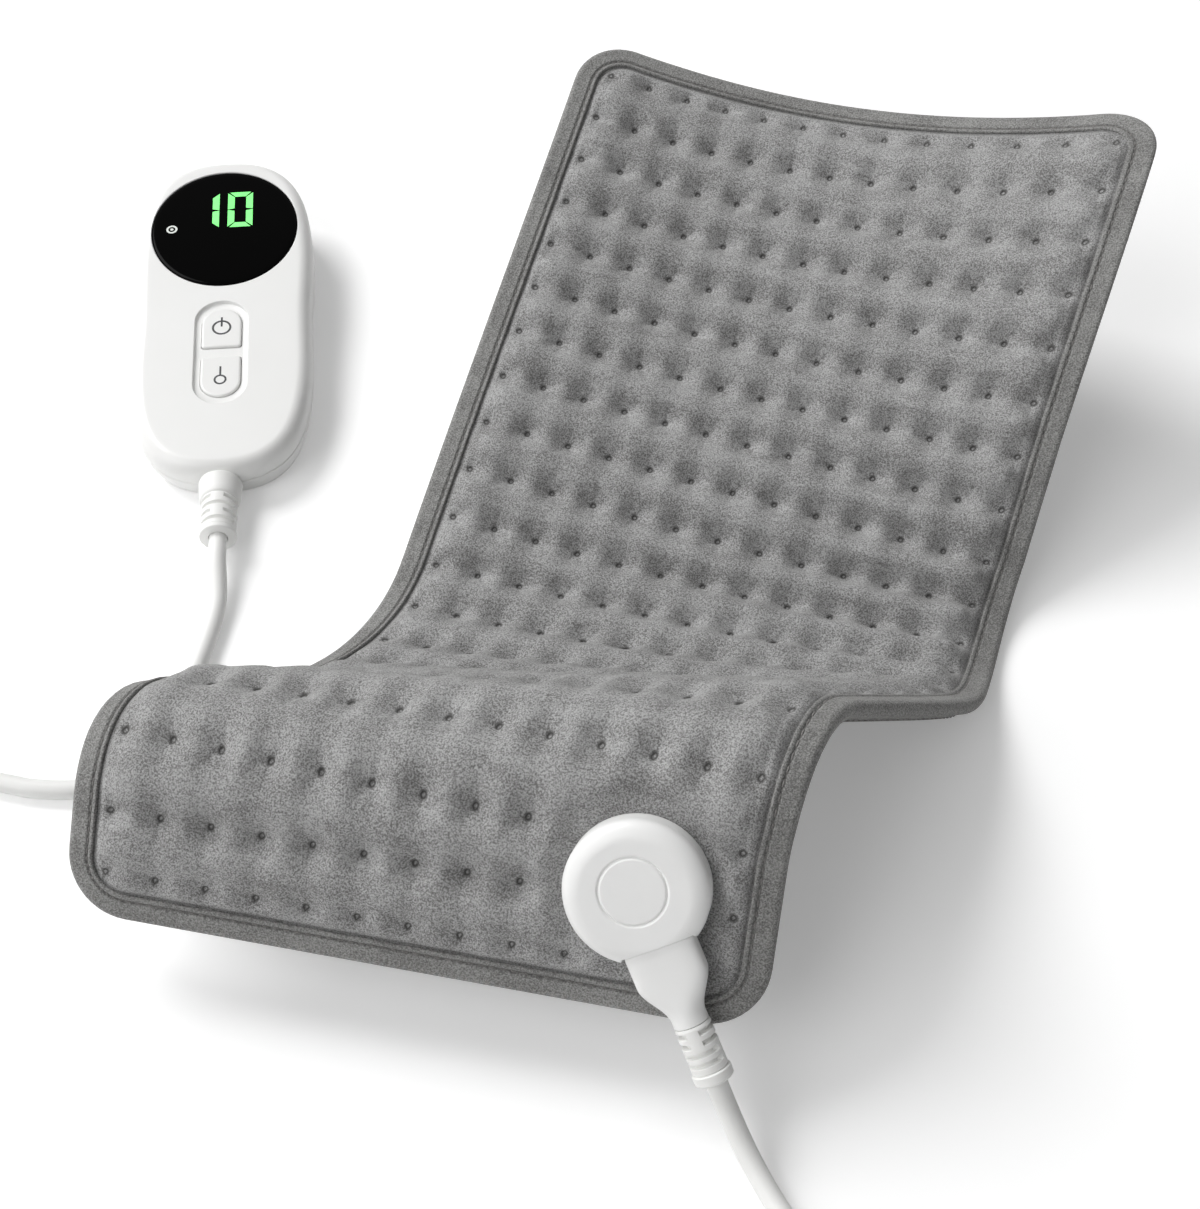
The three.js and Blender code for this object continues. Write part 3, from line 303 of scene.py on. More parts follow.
# socket frame on the lip: x along the plug, z off the pad
lipNormal = np.array([0, -math.sin(lipAngle), math.cos(lipAngle)])
lipDown = np.array([0, -math.cos(lipAngle), -math.sin(lipAngle)])
plugTurn = math.radians(socketPlace["turn"])
plugAxis = lipDown * math.cos(plugTurn) + np.array([math.sin(plugTurn), 0, 0])
socketBasis = np.array([plugAxis, np.cross(lipNormal, plugAxis), lipNormal])
socketOrigin = folded(*np.array([socketPlace["across"], socketPlace["up"], pad["topHigh"]], float))


def inSocket(p):
    return np.asarray(p, float) @ socketBasis + socketOrigin


# hand control frame: y from the lower end to the head, z = 0 on the face; the gland's is level
tilt, turn = math.radians(handPlace["tilt"]), math.radians(handPlace["turn"])
handBasis = np.array([
    [math.cos(turn), math.sin(turn), 0],
    [-math.sin(turn) * math.cos(tilt), math.cos(turn) * math.cos(tilt), math.sin(tilt)],
    [math.sin(turn) * math.sin(tilt), -math.cos(turn) * math.sin(tilt), math.cos(tilt)],
])
halfReach = handPlace["long"] / 2 * math.cos(tilt)
handOrigin = np.array([handPlace["at"][0] + math.sin(turn) * halfReach + standing[0],
                       handPlace["at"][1] - math.cos(turn) * halfReach + standing[1],
                       handPlace["low"] * math.cos(tilt)])
glandBasis = np.array([[math.cos(turn), math.sin(turn), 0], [-math.sin(turn), math.cos(turn), 0], [0, 0, 1]])
glandOrigin = handOrigin - handPlace["glandDrop"] * handBasis[2]


def inHand(p):
    return np.asarray(p, float) @ handBasis + handOrigin


def inGland(p):
    return np.asarray(p, float) @ glandBasis + glandOrigin


# lead: radius, length inside its two ends, run on the table and last stretch to the hand control
leadRun = dict(radius=4, inPlug=5, inHand=30, floor=4.15, bend=56, turn=46, front=-142, left=-290, row=62,
               homeFar=34, homeNear=12, homeRise=1.2, homeGap=10, leastDrift=1)


# points of a level arc from a place and heading, turned by the sweep
def levelArc(start, heading, sweep, radius, parts):
    s = math.copysign(1, sweep)
    middle = start + s * radius * np.array([-math.sin(heading), math.cos(heading), 0])
    h = heading + sweep * np.arange(1, parts + 1) / parts
    return middle + s * radius * np.stack([np.sin(h), -np.cos(h), 0 * h], 1)


# lead route: straight out of the relief, down onto the table, round the front and left, to the hand control
def leadRoute():
    r = leadRun
    high = socketPlace["axisHigh"]
    out = inSocket((socketPlace["reliefEnd"], 0, high))
    level = np.array([plugAxis[0], plugAxis[1], 0])
    level /= np.linalg.norm(level)
    dip = math.asin(-plugAxis[2])
    straight = (out[2] - r["floor"] - r["bend"] * (1 - math.cos(dip))) / math.sin(dip)
    bendStart = out + plugAxis * straight
    a = dip * (1 - shares(4))
    down = bendStart + level * r["bend"] * (math.sin(dip) - np.sin(a))
    down[:, 2:] -= r["bend"] * (np.cos(a) - math.cos(dip))
    front, left, row = r["front"] + standing[1], r["left"] + standing[0], r["row"] + standing[1]
    heading = math.atan2(level[1], level[0])
    drift = (down[-1, 1] - front - r["turn"] * (math.cos(heading) + 1)) / -math.sin(heading)
    turnIn = down[-1] + level * max(drift, r["leastDrift"])
    first = levelArc(turnIn, heading, -math.pi - heading, r["turn"], 6)
    frontEnd = np.array([left + r["turn"], first[-1, 1], r["floor"]])
    run = first[-1] + (frontEnd - first[-1]) * shares(5)
    second = levelArc(frontEnd, math.pi, -math.pi / 2, r["turn"], 3)
    sideEnd = np.array([left, row - r["turn"], r["floor"]])
    side = second[-1] + (sideEnd - second[-1]) * shares(2)
    third = levelArc(sideEnd, math.pi / 2, -math.pi / 2, r["turn"], 3)
    home = inGland((0, -handPlace["glandReach"], 0))
    way = glandBasis[1]
    homeOut = home - way * r["homeFar"]
    sweep = math.atan2(way[1], way[0])
    arcX = homeOut[0] - way[0] * r["homeGap"] - r["turn"] * math.sin(sweep)
    arcStart = np.array([arcX, row, r["floor"]])
    across = third[-1] + (arcStart - third[-1]) * shares(2)
    last = levelArc(arcStart, 0, sweep, r["turn"], 4)
    homeOut[2] = r["floor"] + r["homeRise"]
    ends = np.array([homeOut, home - way * r["homeNear"], home, home + way * r["inHand"]])
    start = np.array([inSocket((socketPlace["reliefEnd"] - r["inPlug"], 0, high)), out, bendStart])
    return np.concatenate([start, down, [turnIn], first, run, second, side, third, across, last, ends]), out


# smooth line through the points: centripetal Catmull-Rom, each span a Hermite cubic
def smoothLine(points, parts):
    p = np.concatenate([[2 * points[0] - points[1]], points, [2 * points[-1] - points[-2]]])
    d = np.sqrt(np.linalg.norm(np.diff(p, axis=0), axis=1))[:, None]
    a, b, c, e = p[:-3], p[1:-2], p[2:-1], p[3:]
    d0, d1, d2 = d[:-2], d[1:-1], d[2:]
    m0 = ((b - a) / d0 - (c - a) / (d0 + d1) + (c - b) / d1) * d1
    m1 = ((c - b) / d1 - (e - b) / (d1 + d2) + (e - c) / d2) * d1
    t = np.linspace(0, 1, parts, endpoint=False)[None, :, None]
    b, c, m0, m1 = (q[:, None] for q in (b, c, m0, m1))
    line = (2 * t**3 - 3 * t**2 + 1) * b + (t**3 - 2 * t**2 + t) * m0
    line = line + (3 * t**2 - 2 * t**3) * c + (t**3 - t**2) * m1
    return np.concatenate([line.reshape(-1, 3), points[-1:]])


# tube: a circle carried along the line, upright all the way
def tubeRings(line, radius, sides):
    t = np.gradient(line, axis=0)
    t /= np.linalg.norm(t, axis=1)[:, None]
    side = np.cross(t, [0, 0, 1])
    side /= np.linalg.norm(side, axis=1)[:, None]
    up = np.cross(side, t)
    a = around(sides)[None, :, None]
    return line[:, None] + radius * (np.cos(a) * side[:, None] + np.sin(a) * up[:, None])


# lead: a tube along the smooth line through its route
def makeLead():
    points, out = leadRoute()
    line = smoothLine(points, 10)
    solid = ringSolid(tubeRings(line, leadRun["radius"], 20))
    piece = showPiece("leadCord", solid, softWhite, stands=["lead"], sharp=60)


makeLead()


# grey polyester plush, brushed short: matt, with a pale sheen at grazing angles and a nap that drifts paler
# and darker, longer one way; painted shade darkens a ring round each sewn point, paler at the tack, and a
# line along the seams; the fibres are too fine to show, so wider flecks stand for them; fleck and nap in mm
def plushLook(name, pale, deep, paintedShade, fleck, nap):
    look, tree, face, place = newLook(name, {"Roughness": 0.92, "Specular IOR Level": 0.15,
                                             "Sheen Weight": 0.35, "Sheen Roughness": 0.45,
                                             "Sheen Tint": colour("#d8d7d5")})
    pile = addNode(tree, "TexNoise", {"Vector": place, "Scale": 1 / (fleck * mm), "Detail": 2,
                                                "Roughness": 0.6})
    brushed = addNode(tree, "Mapping", {"Vector": place, "Rotation": (0, 0, 0.6),
                                                  "Scale": (0.4, 1, 1)})
    sway = addNode(tree, "TexNoise", {"Vector": brushed.outputs[0], "Scale": 1 / (nap * mm),
                                                "Detail": 3, "Distortion": 0.4})
    speck = addNode(tree, "MapRange", {"Value": pile.outputs["Fac"], "From Min": 0.36,
                                                 "From Max": 0.64})
    drift = addNode(tree, "MapRange", {"Value": sway.outputs["Fac"], "From Min": 0.3, "From Max": 0.7,
                                                 "To Min": -0.17, "To Max": 0.17})
    both = addNode(tree, "Math", {0: speck.outputs[0], 1: drift.outputs[0]}, operation="ADD",
                   use_clamp=True)
    tone = addNode(tree, "Mix", {"Factor": both.outputs[0], 6: colour(deep), 7: colour(pale)},
                   data_type="RGBA")
    # painted shade: a dark ring in the dent round each sewn point, paler at the tack, and a dark line in the
    # seam's crease and the tape's stitch channel
    near = addNode(tree, "Attribute", attribute_name="tuftShadeAndTack").outputs["Fac"]      # mm inside its reach
    dentShade = addNode(tree, "MapRange", {"Value": near, "From Min": 1.0, "From Max": 1.9})
    tack = addNode(tree, "MapRange", {"Value": near, "From Min": 2.0, "From Max": 2.6,
                                                "To Min": 1, "To Max": 0.1})
    ring = addNode(tree, "Math", {0: dentShade.outputs[0], 1: tack.outputs[0]}, operation="MULTIPLY")
    seam = addNode(tree, "Attribute", attribute_name="sewn").outputs["Fac"]
    paintedShadeAmount = addNode(tree, "Math", {0: ring.outputs[0], 1: seam}, operation="MAXIMUM")
    mark = addNode(tree, "Mix", {"Factor": paintedShadeAmount.outputs[0], 6: tone.outputs[2], 7: colour(paintedShade)},
                   data_type="RGBA")
    bump = addNode(tree, "Bump", {"Height": pile.outputs["Fac"], "Distance": 0.6 * mm,
                                            "Strength": 0.7})
    tree.links.new(mark.outputs[2], face.inputs["Base Color"])
    tree.links.new(bump.outputs["Normal"], face.inputs["Normal"])
    return look


# tape, backing cloth and thread are finished the same way, in tones and flecks of their own; the last colour
# of each is its painted shade
plushGrey = plushLook("brushedPolyesterPlush", "#bababa", "#71706f", "#4f4e4d", 0.65, 9)
tapeGrey = plushLook("brushedPlushTape", "#a4a4a2", "#6a6968", "#4b4a49", 0.65, 14)
backGrey = plushLook("wovenBackingCloth", "#62615f", "#525150", "#3c3b3a", 1.1, 20)
seamThread = plushLook("twistedPolyesterThread", "#8f8d8b", "#73716f", "#6a6866", 0.5, 4)

# quilting, mm: grid steps per cell and at the hem, hem, crown, sewn points, room for disc and plug
quilt = dict(simCells=(6, 7), simHem=(0, 4, 7.5, 11), fineCells=(12, 13),
             fineHem=(0, 4, 7.5, 8.6, 9.3, 9.9, 10.5, 11.2, 12, 13), gather=0.5, backGather=0.4,
             hemEnd=8, hemSlope=11, hemRidge=0.6, hemRidgeAt=12.2, hemRidgeWide=1.3,
             # seam: strength, place and width of a painted shade line in the crease inside the tape
             seam=0.6, seamAt=9.7, seamWide=0.6,
             swell=6.2, share=0.25, sideMost=1.2, funnel=6.2, rowDraw=0.86, plainPower=0.8,
             uneven=0.5, unevenWaves=((31, 47), (23, 61)),
             # first how far the painted shade round each sewn point reaches, then the dent, its lip and the
             # puckers
             tuftReach=3, dent=0.9, dentWide=1.5, lip=0.25, lipAt=2.4, lipWide=0.7,
             pucker=0.35, puckers=5, puckerAt=4.5, puckerWide=2.6, puckerTurn=(2.4, 1.7),
             discRoom=27, plugRoom=16, roomEase=8, backDimple=0.9, backDimpleWide=2.6)

# ridges between the rows of sewn points: in the valley, lower at its left, and again further back
ridges = dict(high=4.0, at=295, wide=70, leftShare=0.4, growFrom=-60, growOver=140,
              backAt=430, backWide=80, backShare=0.45)

# cloth simulation: scale is how many times its real size the sheet is while it runs
swelling = dict(scale=10, frames=20, pressure=2.2, slack=-0.03, quality=5, mass=0.3, stretch=18, shear=6,
                bending=0.6, sewnNear=0.5, hemHeld=7)


# grid lines across one direction: the hem's own lines, then drawn close to the sewn points in each cell
def quiltLines(low, high, margin, pitch, count, cell, hem, gather):
    first = low - pad["inset"] + margin
    s = np.arange(cell) / cell
    inCell = (s - gather * np.sin(2 * math.pi * s) / (2 * math.pi)) * pitch
    middle = (first + pitch * np.arange(count - 1)[:, None] + inCell).ravel()
    last = first + pitch * (count - 1)
    return np.concatenate([low + np.array(hem), middle, [last], high - np.array(hem)[::-1]])


def padLines(cells, hem, gather):
    halfU, lowV, highV = pad["wide"] / 2 - pad["inset"], pad["inset"], pad["long"] - pad["inset"]
    u = quiltLines(-halfU, halfU, pad["sideMargin"], pitchU, pad["columns"], cells[0], hem, gather)
    v = quiltLines(lowV, highV, pad["endMargin"], pitchV, pad["rows"], cells[1], hem, gather)
    return u, v


# grid of flat points from its lines
def spread(u, v):
    return np.broadcast_arrays(u[None, :], v[:, None])


# corner squares drawn into quarter discs: the shares of the corner's radius before and after
def intoCorner(u, v):
    r, middle = pad["corner"] - pad["inset"], pad["long"] / 2
    a = np.clip((np.abs(u) - pad["wide"] / 2 + pad["inset"]) / r + 1, 0, 1)
    b = np.clip((np.abs(v - middle) - middle + pad["inset"]) / r + 1, 0, 1)
    return r, a, b, a * np.sqrt(1 - b * b / 2), b * np.sqrt(1 - a * a / 2)


# flat point moved so that the cover's border goes round the corners
def roundedCorner(u, v):
    r, a, b, roundA, roundB = intoCorner(u, v)
    return u + np.sign(u) * (roundA - a) * r, v + np.sign(v - pad["long"] / 2) * (roundB - b) * r


# distance from the cover's edge, round its corners too
def fromEdge(u, v):
    r, _, _, a, b = intoCorner(u, v)
    deep = np.hypot(a, b)
    straight = np.minimum(pad["wide"] / 2 - np.abs(u), np.minimum(v, pad["long"] - v)) - pad["inset"]
    return np.where(deep > 0, r * (1 - deep), straight)


# offset to the nearest sewn point, and its column and row
def fromTuft(u, v):
    a = (u + pad["wide"] / 2 - pad["sideMargin"]) / pitchU
    b = (v - pad["endMargin"]) / pitchV
    i, j = np.clip(np.round(a), 0, pad["columns"] - 1), np.clip(np.round(b), 0, pad["rows"] - 1)
    return (a - i) * pitchU, (b - j) * pitchV, i, j


# 0 under the disc and the plug, easing to 1 beside them
def besideSocket(u, v):
    fromU, fromV = u - socketPlace["across"], v - socketPlace["up"]
    along = fromU * math.sin(plugTurn) - fromV * math.cos(plugTurn)
    aside = fromU * math.cos(plugTurn) + fromV * math.sin(plugTurn)
    fromDisc = np.hypot(fromU, fromV) - quilt["discRoom"]
    fromPlug = np.hypot(np.minimum(along, 0), aside) - quilt["plugRoom"]
    return ease(np.minimum(fromDisc, fromPlug) / quilt["roomEase"])


# cloth sheet sewn down at each point and along the hem, blown up by pressure; gives its shifts in mm
def swollenCloth(u, v):
    big = swelling["scale"] * mm
    n, m = len(v), len(u)
    flatU, flatV = spread(u, v)
    flat = np.stack([flatU, flatV, np.zeros((n, m))], -1)
    faces = gridFaces(np.arange(n * m).reshape(n, m))
    mesh = bpy.data.meshes.new("swollenCloth")
    mesh.from_pydata((flat.reshape(-1, 3) * big).tolist(), [], faces.tolist())
    cloth = addObject("swollenCloth", mesh)
    du, dv, _, _ = fromTuft(flatU, flatV)
    held = (np.hypot(du, dv) < swelling["sewnNear"]) | (fromEdge(flatU, flatV) < swelling["hemHeld"])
    sewn = cloth.vertex_groups.new(name="sewn")
    sewn.add(np.flatnonzero(held).tolist(), 1, "REPLACE")
    change = cloth.modifiers.new("cloth", "CLOTH")
    s = change.settings
    s.quality = swelling["quality"]
    s.mass = swelling["mass"]
    s.tension_stiffness = swelling["stretch"]
    s.compression_stiffness = swelling["stretch"]
    s.shear_stiffness = swelling["shear"]
    s.bending_stiffness = swelling["bending"]
    s.vertex_group_mass = "sewn"
    s.use_pressure = True
    s.uniform_pressure_force = swelling["pressure"]
    s.shrink_min = swelling["slack"]
    s.effector_weights.gravity = 0
    change.point_cache.frame_end = swelling["frames"]
    for f in range(1, swelling["frames"] + 1):
        bpy.context.scene.frame_set(f)
    result = cloth.evaluated_get(bpy.context.evaluated_depsgraph_get()).to_mesh()
    at = np.empty(n * m * 3, np.float32)
    result.vertices.foreach_get("co", at)
    bpy.data.objects.remove(cloth)
    bpy.context.scene.frame_set(1)
    return at.reshape(n, m, 3) / big - flat


# value on a finer line from a coarse one, Catmull-Rom along the first axis
def finer(a, coarse, fine):
    at = np.interp(fine, coarse, np.arange(len(coarse)))
    i = np.clip(at.astype(int), 0, len(coarse) - 2)
    f = (at - i).reshape(-1, *[1] * (a.ndim - 1))
    p = [a[np.clip(i + k, 0, len(coarse) - 1)] for k in (-1, 0, 1, 2)]
    return p[1] + 0.5 * f * (p[2] - p[0] + f * (2 * p[0] - 5 * p[1] + 4 * p[2] - p[3]
                             + f * (3 * (p[1] - p[2]) + p[3] - p[0])))


# shifts of the cloth on the fine grid, from the simulation on its own coarser lines
def clothShift(u, v):
    simU, simV = padLines(quilt["simCells"], quilt["simHem"], 0)
    shift = swollenCloth(simU, simV)
    print("cloth swelled to", shift[..., 2].max().round(2), "mm")
    shift = finer(shift, simV, v)
    return np.swapaxes(finer(np.swapaxes(shift, 0, 1), simU, u), 0, 1)


# ridges: a wave with its crests midway between rows, as high as two bells along the pad allow
def ridgeRise(u, v, dv):
    r = ridges
    grown = r["leftShare"] + (1 - r["leftShare"]) * ease((u - r["growFrom"]) / r["growOver"])
    bend = bell(v - r["at"], r["wide"]) * grown + r["backShare"] * bell(v - r["backAt"], r["backWide"])
    return r["high"] * bend * (0.5 - 0.5 * np.cos(2 * math.pi * dv / pitchV))


# sideways shift and rise over the plain layer, and the painted shade marks of seam and sewn points: the
# simulated swell and a funnel round each point share the crown, then come a dent with its lip, puckers,
# ridges and slow waves
def quilted(u, v):
    q = quilt
    shift = clothShift(u, v)
    u, v = spread(u, v)
    du, dv, column, row = fromTuft(u, v)
    r, angle = np.hypot(du, dv), np.arctan2(dv, du)
    edge = fromEdge(u, v)
    inField = ease((edge - q["hemEnd"]) / q["hemSlope"])
    clear = besideSocket(u, v)
    side = np.clip(shift[..., :2], -q["sideMost"], q["sideMost"])
    drawn = np.hypot(q["rowDraw"] * du, dv)            # the filling is drawn down further along a row
    stuffed = q["swell"] * (1 - bell(drawn, q["funnel"]))
    rise = q["share"] * np.clip(shift[..., 2], 0, q["swell"]) + (1 - q["share"]) * stuffed
    rise += q["lip"] * bell(r - q["lipAt"], q["lipWide"]) - q["dent"] * bell(r, q["dentWide"])
    turnBy = q["puckerTurn"][0] * column + q["puckerTurn"][1] * row        # each point puckers its own way
    rise += q["pucker"] * np.cos(q["puckers"] * angle + turnBy) * bell(r - q["puckerAt"], q["puckerWide"])
    rise += ridgeRise(u, v, dv)
    (a, b), (c, d) = q["unevenWaves"]
    rise += q["uneven"] * np.sin(u / a + v / b) * np.sin(v / c - u / d)
    rise = rise * inField * clear + q["hemRidge"] * bell(edge - q["hemRidgeAt"], q["hemRidgeWide"])
    # painted shade marks: a line in the crease inside the tape, and the nearness to each sewn point, which
    # the plush turns into a shaded ring round a paler tack
    seam = q["seam"] * bell(edge - q["seamAt"], q["seamWide"])
    tuftShadeAndTack = np.clip(q["tuftReach"] - r, 0, q["tuftReach"]) * clear
    return side * (inField * clear)[..., None], rise, seam, tuftShadeAndTack


# layer height between the hem and the field
def layered(d, hem, field):
    return hem + (field - hem) * ease(d / (pad["sideMargin"] - pad["inset"]))


# top cover: the quilted sheet over its plain underside, folded with the pad
def makeCover():
    lines = padLines(quilt["fineCells"], quilt["fineHem"], quilt["gather"])
    side, rise, seam, tuftShadeAndTack = quilted(*lines)
    d = fromEdge(*spread(*lines))
    u, v = roundedCorner(*spread(*lines))
    top = folded(u + side[..., 0], v + side[..., 1], layered(d, pad["hemHigh"], pad["topHigh"]) + rise)
    low = folded(u, v, layered(d, pad["hemSplit"] + pad["layerGap"], pad["topLow"]))
    # the seam's and sewn points' painted shade goes to the plush as point marks
    marks = {"sewn": np.stack([seam, 0 * seam]), "tuftShadeAndTack": np.stack([tuftShadeAndTack, 0 * tuftShadeAndTack])}
    cover = showPiece("plushCover", sheetSolid(top, low), plushGrey, stands=["pad_top_cover"],
                      sharp=70, marks=marks)
    print("plush cover made")


# back cover: a thin layer with a dimple at each sewn point
def makeBack():
    flat = spread(*padLines(quilt["simCells"], quilt["simHem"], quilt["backGather"]))
    d = fromEdge(*flat)
    du, dv, _, _ = fromTuft(*flat)
    dimple = quilt["backDimple"] * bell(np.hypot(du, dv), quilt["backDimpleWide"])
    u, v = roundedCorner(*flat)
    low = folded(u, v, layered(d, pad["hemLift"], 0) + dimple)
    top = folded(u, v, layered(d, pad["hemSplit"], pad["backCloth"]))
    back = showPiece("backCover", sheetSolid(top, low), backGrey,
                     stands=["pad_bottom_cover"], sharp=70)
    print("back cover made")


makeCover()
makeBack()

# binding tape, mm: reach over the edge, thickness, tucked end, stitch channel with its painted shade, and
# stitches
binding = dict(reach=10.7, gap=0.5, thick=1.2, roll=3.2, step=4.0, tuck=1.1, tuckWide=0.8,
               # channel: place, depth and width of the stitch channel, and the strength of the painted shade
               # along it
               channel=8.3, channelDeep=0.8, channelWide=0.6, channelShade=0.5,
               stitch=2.9, every=4.0, thread=0.42, stitchDip=0.35, blunt=0.02, proudTop=0.2, proudLow=0.1,
               stitchPath=0.5)


# border of the flat pad with the way inwards, walked by arcs at the corners and straights between them
def borderPath(step):
    r, halfU, long = pad["corner"], pad["wide"] / 2, pad["long"]
    centres = np.array([[halfU - r, r], [halfU - r, long - r], [r - halfU, long - r], [r - halfU, r]])
    points, inwards = [], []
    for k, centre in enumerate(centres):
        a = math.radians(90 * k - 90) + np.linspace(0, math.pi / 2, 14)
        way = np.stack([np.cos(a), np.sin(a)], 1)
        gap = np.linalg.norm(centres[(k + 1) % 4] - centre)
        share = np.arange(1, round(gap / step)) / round(gap / step)
        straight = centre + r * way[-1] + share[:, None] * (centres[(k + 1) % 4] - centre)
        points += [centre + r * way, straight]
        inwards += [-way, np.repeat(-way[-1:], len(share), 0)]
    return np.concatenate(points), np.concatenate(inwards)


# heights of the tape's outer skin by distance from the pad's edge: above, pressed in along the channel and
# tucked down at its end, and below
def tapeTop(d):
    b = binding
    h = layered(d - pad["inset"], pad["hemHigh"], pad["topHigh"]) + (b["gap"] + b["thick"])
    h = h - b["channelDeep"] * bell(d - b["channel"], b["channelWide"])
    return h - b["tuck"] * ease((d - b["reach"] + b["tuckWide"]) / b["tuckWide"]) ** 2


def tapeLow(d):
    return layered(d - pad["inset"], pad["hemLift"], 0) - binding["gap"] - binding["thick"]


# tape section: top skin outwards, round the edge as a half ellipse, underside inwards, then back inside
def tapeSection():
    t, roll, reach = binding["thick"], binding["roll"], binding["reach"]
    dTop, dLow = np.linspace(reach, roll, 30), np.linspace(roll, reach, 8)
    a = np.linspace(math.pi / 2, -math.pi / 2, 16)[1:-1]
    back = a[::-2]
    high, low = tapeTop(roll), tapeLow(roll)
    middle, half = (high + low) / 2, (high - low) / 2
    d = [dTop, roll * (1 - np.cos(a)), dLow, dLow[::-1], roll - (roll - t) * np.cos(back), dTop[::-4]]
    h = [tapeTop(dTop), middle + half * np.sin(a), tapeLow(dLow),
         tapeLow(dLow[::-1]) + t, middle + (half - t) * np.sin(back), tapeTop(dTop[::-4]) - t]
    return np.concatenate(d), np.concatenate(h)


# stitches: short capsules along the channel, each six-sided and five rings long, dipping at their ends
def stitchRow(height, sign):
    b = binding
    path, inwards = borderPath(b["stitchPath"])
    step = np.linalg.norm(np.diff(path, axis=0, append=path[:1]), axis=1)
    run = np.concatenate([[0], np.cumsum(step)])
    count = int(run[-1] / b["every"])
    middle = (np.arange(count) + 0.5) * run[-1] / count

    # point over the channel at the distance s round the border
    def at(s, h):
        u, v, nu, nv = (np.interp(s % run[-1], run, np.append(q, q[0])) for q in (*path.T, *inwards.T))
        return folded(u + nu * b["channel"], v + nv * b["channel"], h)

    along = np.linspace(-0.5, 0.5, 5)
    ending = (2 * along) ** 4
    s = middle[:, None] + along * b["stitch"]
    centre = at(s, height - b["stitchDip"] * ending * sign)
    up = at(s, height + sign) - at(s, height + 0 * s)
    side = np.cross(np.gradient(centre, axis=1), up)
    side /= np.linalg.norm(side, axis=-1)[..., None]
    up /= np.linalg.norm(up, axis=-1)[..., None]
    a = around(6)[:, None]
    radius = (b["thread"] * np.sqrt(1 + b["blunt"] - ending))[None, :, None, None]
    rings = centre[:, :, None] + radius * (np.cos(a) * side[:, :, None] + np.sin(a) * up[:, :, None])
    return [ringSolid(r) for r in rings]


# tape: its section carried round the border and folded with the pad, and a row of stitches on either face
def makeBinding():
    b = binding
    path, inwards = borderPath(b["step"])
    d, h = tapeSection()
    flat = path[:, None] + inwards[:, None] * d[None, :, None]
    rings = folded(flat[..., 0], flat[..., 1], np.broadcast_to(h, flat.shape[:2]))
    # painted shade along the stitch channel, given to the tape as its sewn mark
    line = np.broadcast_to(b["channelShade"] * bell(d - b["channel"], b["channelWide"]), flat.shape[:2])
    showPiece("edgeTape", loopSolid(rings), tapeGrey, stands=["edge_binding"], sharp=60,
              marks={"sewn": line})
    onTop = stitchRow(tapeTop(b["channel"]) + b["proudTop"], 1)
    below = stitchRow(tapeLow(b["channel"]) - b["proudLow"], -1)
    showPiece("edgeStitches", together(onTop + below), seamThread, sharp=80)
    print("binding sewn")


makeBinding()

# round socket, mm: disc, rim, ring mark, foot as insets and heights, mouth and notch for the plug
socket = dict(radius=26, split=7.0, seam=0.2, high=14, rimOut=7, rimUp=5, rimPower=0.8,
              ringAt=-1.5, ringRadius=12.1, ringWide=0.45, ringDeep=0.7, ringNear=1.2, ringFar=1.5, hub=0.4,
              foot=((0, 1.6), (0.15, 0.9), (0.5, 0.5), (1.2, 0.3)), face=20, notch=13.3, notchSlit=0.0005,
              cornerSlit=0.004, mouthBack=0.0, mouthOut=30, mouthHalf=10.3, mouthHigh=3.4)


# radius of the outline from the ring's centre: the circle, or the straight notch where the plug sits
def discOutline(angle):
    c, s = np.cos(angle), np.sin(angle)
    shift = socket["ringAt"] * c
    circle = -shift + np.sqrt(shift ** 2 - socket["ringAt"] ** 2 + socket["radius"] ** 2)
    least = 0.1                                        # keeps the division sound at the sides and the back
    line = (socket["face"] - socket["ringAt"]) / np.maximum(c, least)
    inNotch = (c > least) & (np.abs(line * s) <= socket["notch"])
    return np.where(inNotch, np.minimum(line, circle), circle)


# disc top: a quarter ellipse down at the rim, with the ring mark pressed in
def discTop(x, y):
    inset = socket["radius"] - np.hypot(x, y)
    t = np.clip(1 - inset / socket["rimOut"], 0, 1)
    z = socket["high"] - socket["rimUp"] * (1 - np.sqrt(1 - t * t))
    fromRing = np.hypot(x - socket["ringAt"], y) - socket["ringRadius"]
    return z - socket["ringDeep"] * bell(fromRing, socket["ringWide"])


